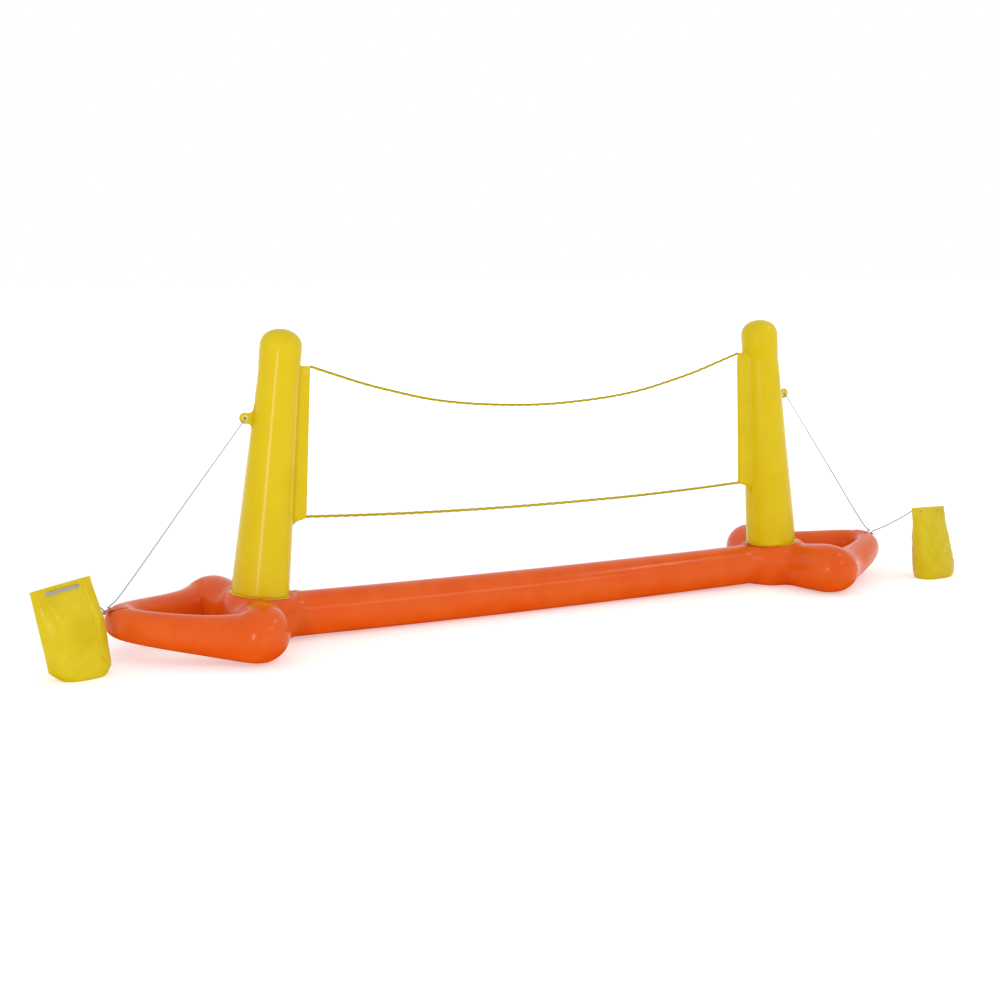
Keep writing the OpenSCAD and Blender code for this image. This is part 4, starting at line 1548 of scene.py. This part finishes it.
@dataclass
class Studio:
    """White room: camera, floor, surroundings and three narrow soft lamps."""

    camera_at: tuple[float, float, float] = (-2.0575, -3.6705, 0.9783)
    yaw: float = 27.80
    pitch: float = 8.99
    roll: float = 0.213
    lens: float = 54.63
    sensor: float = 36
    ambient: float = 0.77
    floor_size: float = 120
    floor_lift: float = 0.5
    glow: Span = (0.4, 1.0)
    glow_reach: Span = (1.5, 6.0)
    lamps: tuple[Lamp, ...] = (
        Lamp("pole_strip", (-2.71, -2.9, 0.65), (0.3, 1.3), 24, (-0.8, 0.0, 0.45)),
        Lamp("low_strip", (1.7, -3.3, 2.4), (1.6, 0.12), 12, (0.0, 0.0, 0.1)),
        Lamp("high_strip", (1.95, -0.83, 2.5), (0.7, 0.12), 5, (0.3, 0.0, 0.1)),
    )

    def set_camera(self) -> None:
        """Makes the camera and sets it for the scene."""
        yaw, pitch, roll = (math.radians(a) for a in (self.yaw, self.pitch, self.roll))
        ahead = Vector((math.sin(yaw) * math.cos(pitch), math.cos(yaw) * math.cos(pitch), -math.sin(pitch)))
        right = Vector((math.cos(yaw), -math.sin(yaw), 0))
        up = right.cross(ahead)
        right, up = (
            math.cos(roll) * right + math.sin(roll) * up,
            math.cos(roll) * up - math.sin(roll) * right,
        )
        data = bpy.data.cameras.new("camera")
        data.lens, data.sensor_width, data.clip_end = self.lens, self.sensor, 200
        camera = bpy.data.objects.new("camera", data)
        camera.matrix_world = Matrix.Translation(self.camera_at) @ Matrix((right, up, -ahead)).transposed().to_4x4()
        bpy.context.scene.collection.objects.link(camera)
        bpy.context.scene.camera = camera

    def seen_white(self, tree: Tree) -> Socket:
        """Share of a ray that comes from the camera, a reflection or a clear piece.

        Args:
            tree: Node tree that the share is used in.

        Returns:
            Output that is 1 for those rays and 0 for light that falls on the set.
        """
        path = add_node(tree, "ShaderNodeLightPath").outputs
        mirrored = worked_out(tree, "MAXIMUM", path["Is Camera Ray"], path["Is Glossy Ray"])
        return worked_out(tree, "MAXIMUM", mirrored, path["Is Transmission Ray"])

    def set_world(self) -> None:
        """Surrounds the set with white that lights it at a plain level."""
        world = bpy.data.worlds.new("white_room")
        bpy.context.scene.world = world
        world.use_nodes = True
        tree = world.node_tree
        tree.nodes.clear()
        level = ranged(tree, self.seen_white(tree), (0.0, 1.0), (self.ambient, 1.0))
        white = add_node(tree, "ShaderNodeBackground", None, {"Color": linear("#FFFFFF"), "Strength": level})
        add_node(tree, "ShaderNodeOutputWorld", None, {"Surface": white.outputs[0]})

    def lay_floor(self) -> None:
        """Lays the white floor, which keeps the set's soft shadow."""
        deselect()
        bpy.ops.mesh.primitive_grid_add(x_subdivisions=2, y_subdivisions=2, size=self.floor_size)
        floor = named("studio_floor")
        material, tree = new_material("matt_white_backdrop_paper")
        spot = add_node(tree, "ShaderNodeTexCoord").outputs["Object"]
        far = add_node(tree, "ShaderNodeVectorMath", {"operation": "LENGTH"}, {"0": spot}).outputs["Value"]
        share = worked_out(tree, "MAXIMUM", self.seen_white(tree), self.floor_lift)
        strength = worked_out(tree, "MULTIPLY", ranged(tree, far, self.glow_reach, self.glow), share)
        paper = add_node(tree, "ShaderNodeBsdfDiffuse", None, {"Color": linear("#EDEDED")})
        shine = add_node(tree, "ShaderNodeEmission", None, {"Color": linear("#FFFFFF"), "Strength": strength})
        both = add_node(tree, "ShaderNodeAddShader", None, {"0": paper.outputs[0], "1": shine.outputs[0]})
        add_node(tree, "ShaderNodeOutputMaterial", None, {"Surface": both.outputs[0]})
        dress(floor, material)

    def build(self) -> None:
        """Sets up the whole studio."""
        self.set_camera()
        self.set_world()
        self.lay_floor()
        for lamp in self.lamps:
            lamp.build()
        bpy.context.scene.view_settings.view_transform = "Standard"


# ======================= the set =======================


@dataclass
class VolleyballSet:
    """The whole set, built from its sub-assemblies."""

    finishes: Finishes
    net_cord_d: float = 0.008
    guy_cord_d: float = 0.0035

    def tie(self, name: str, knots: Sequence[Knot], body: str) -> Piece:
        """Makes a cord's knots as one piece."""
        pieces = [knot.build(f"knot_{i}") for i, knot in enumerate(knots)]
        return place(joined(pieces, f"{name}_tied"), self.finishes.white_cord, body, name, "white_cord")

    def lay_white(self, name: str, route: Route, body: str, node: str, knots: Sequence[Piece] = ()) -> None:
        """Makes one of the white cords.

        Args:
            name: Name of the piece.
            route: Points that it runs through, in millimetres.
            body: CAD body that it moves with.
            node: CAD node that it replaces.
            knots: Knots that go with it.
        """
        white = self.finishes.white_cord
        LaidCord(name, route, self.guy_cord_d, Lay.TAUT, white, body, node, "white_cord").build(knots)

    def build_cords(self) -> None:
        """Makes the net cords, and the guy cords with the knots at both their ends."""
        yellow = self.finishes.yellow_cord
        for name, route in (("upper_net_cord", UPPER_NET_CORD), ("lower_net_cord", LOWER_NET_CORD)):
            LaidCord(f"{name}_laid", route, self.net_cord_d, Lay.HANGING, yellow, "float", name, "yellow_cord").build()
        for side in Side:
            mirror = Vector((side.value, 1, 1))
            top, low = Knot(GUY_TAB_KNOT * mirror, ACROSS, TAB_KNOT), Knot(ANCHOR_KNOT * mirror, UP, FLAT_KNOT)
            knots = self.tie(f"{side.word}_guy_knots", (top, low), "float")
            name = f"{side.word}_guy_cord"
            self.lay_white(f"{name}_laid", to_side(GUY_CORD, side), "float", name, [knots])

    def build_float(self) -> None:
        """Makes the tube, both rings and both boots, and settles them into one swollen form."""
        beam = FloatBeam(FloatRing(Side.RIGHT))
        form = SwollenFloat(beam.ring, beam, Boot(PoleFrame(Side.RIGHT)))
        tube = beam.build()
        for side in Side:
            ring, boot = FloatRing(side).build(), Boot(PoleFrame(side)).build()
            for skin, own in ((ring, "ring"), (tube, "beam"), (boot, "boot")):
                form.settle(skin, side, own)
            self.finish_orange(ring, f"{side.word}_float_ring")
            self.finish_orange(boot, f"{side.word}_pole_boot")
            tab = AnchorTab(FloatRing(side)).build()
            place(tab, self.finishes.tab, "float", f"{side.word}_anchor_tab", "orange_vinyl")
        self.finish_orange(tube, "base_beam")

    def finish_orange(self, skin: Piece, node: str) -> None:
        """Turns an orange skin's faces outwards, shades it and puts it in the place of its node."""
        place(face_and_shade(skin, 80), self.finishes.orange, "float", node, "orange_vinyl")

    def build_poles(self) -> None:
        """Makes the poles with their flanges and sleeves."""
        f = self.finishes
        for side in Side:
            pole = Pole(PoleFrame(side))
            word = side.word
            place(pole.build_pole(), f.yellow, "float", f"{word}_pole", "yellow_vinyl")
            place(pole.build_flange(), f.weld, "float", f"{word}_pole_weld_flange", "clear_vinyl")
            place(NetSleeve(pole).build(), f.yellow, "float", f"{word}_net_sleeve", "yellow_vinyl")

    def build_bags(self) -> None:
        """Makes each bag with its lacing, tether and knots."""
        left = WeightBag(Side.LEFT, 0.156, 56, 0.045, 12, -8, 1, near_swell=0.07)
        right = WeightBag(
            Side.RIGHT, 0.202, 55, -0.044, -6, -2.4, -1, height=0.2245, slot_drop=0.0125,
            corner_cut=(0.02, 0.14), far_swell=-0.08,
        )
        for bag in (left, right):
            word, body = bag.side.word, f"{bag.side.word}_weight_bag"
            skin = place(bag.build(), self.finishes.bag, body, f"{word}_bag", "bag_vinyl")
            for name, route in zip(("lower", "upper"), bag.lacing()):
                self.lay_white(f"{word}_lacing_{name}", route, body, f"{word}_bag_lacing")
            low = Knot(TETHER_KNOT * Vector((bag.side.value, 1, 1)), UP, FLAT_KNOT)
            high = Knot(BAG_KNOTS[bag.side], ACROSS, BAG_KNOT)
            knots = self.tie(f"{word}_tether_knots", (low, high), body)
            self.lay_white(f"{word}_tether_laid", TETHERS[bag.side], body, f"{word}_tether", [knots])

    def dress_nodes(self) -> None:
        """Gives the CAD nodes that stay their materials."""
        nodes, clear = frame["nodes"], self.finishes.clear
        for owner in ("base", "left_pole", "right_pole"):
            for part in ("stem", "plug"):
                dress(nodes[f"{owner}_valve_{part}"], clear)
        for side in Side:
            dress(nodes[f"{side.word}_guy_tab"], self.finishes.yellow)
            dress(nodes[f"{side.word}_guy_eyelet"], clear)

    def build(self) -> None:
        """Builds and dresses the set."""
        self.build_cords()
        self.build_float()
        self.build_poles()
        self.build_bags()
        self.dress_nodes()


def main() -> None:
    """Builds the studio and the set."""
    logging.basicConfig(level=logging.INFO, format="%(name)s %(message)s")
    Studio().build()
    VolleyballSet(Finishes()).build()


if __name__ == "__main__":
    main()
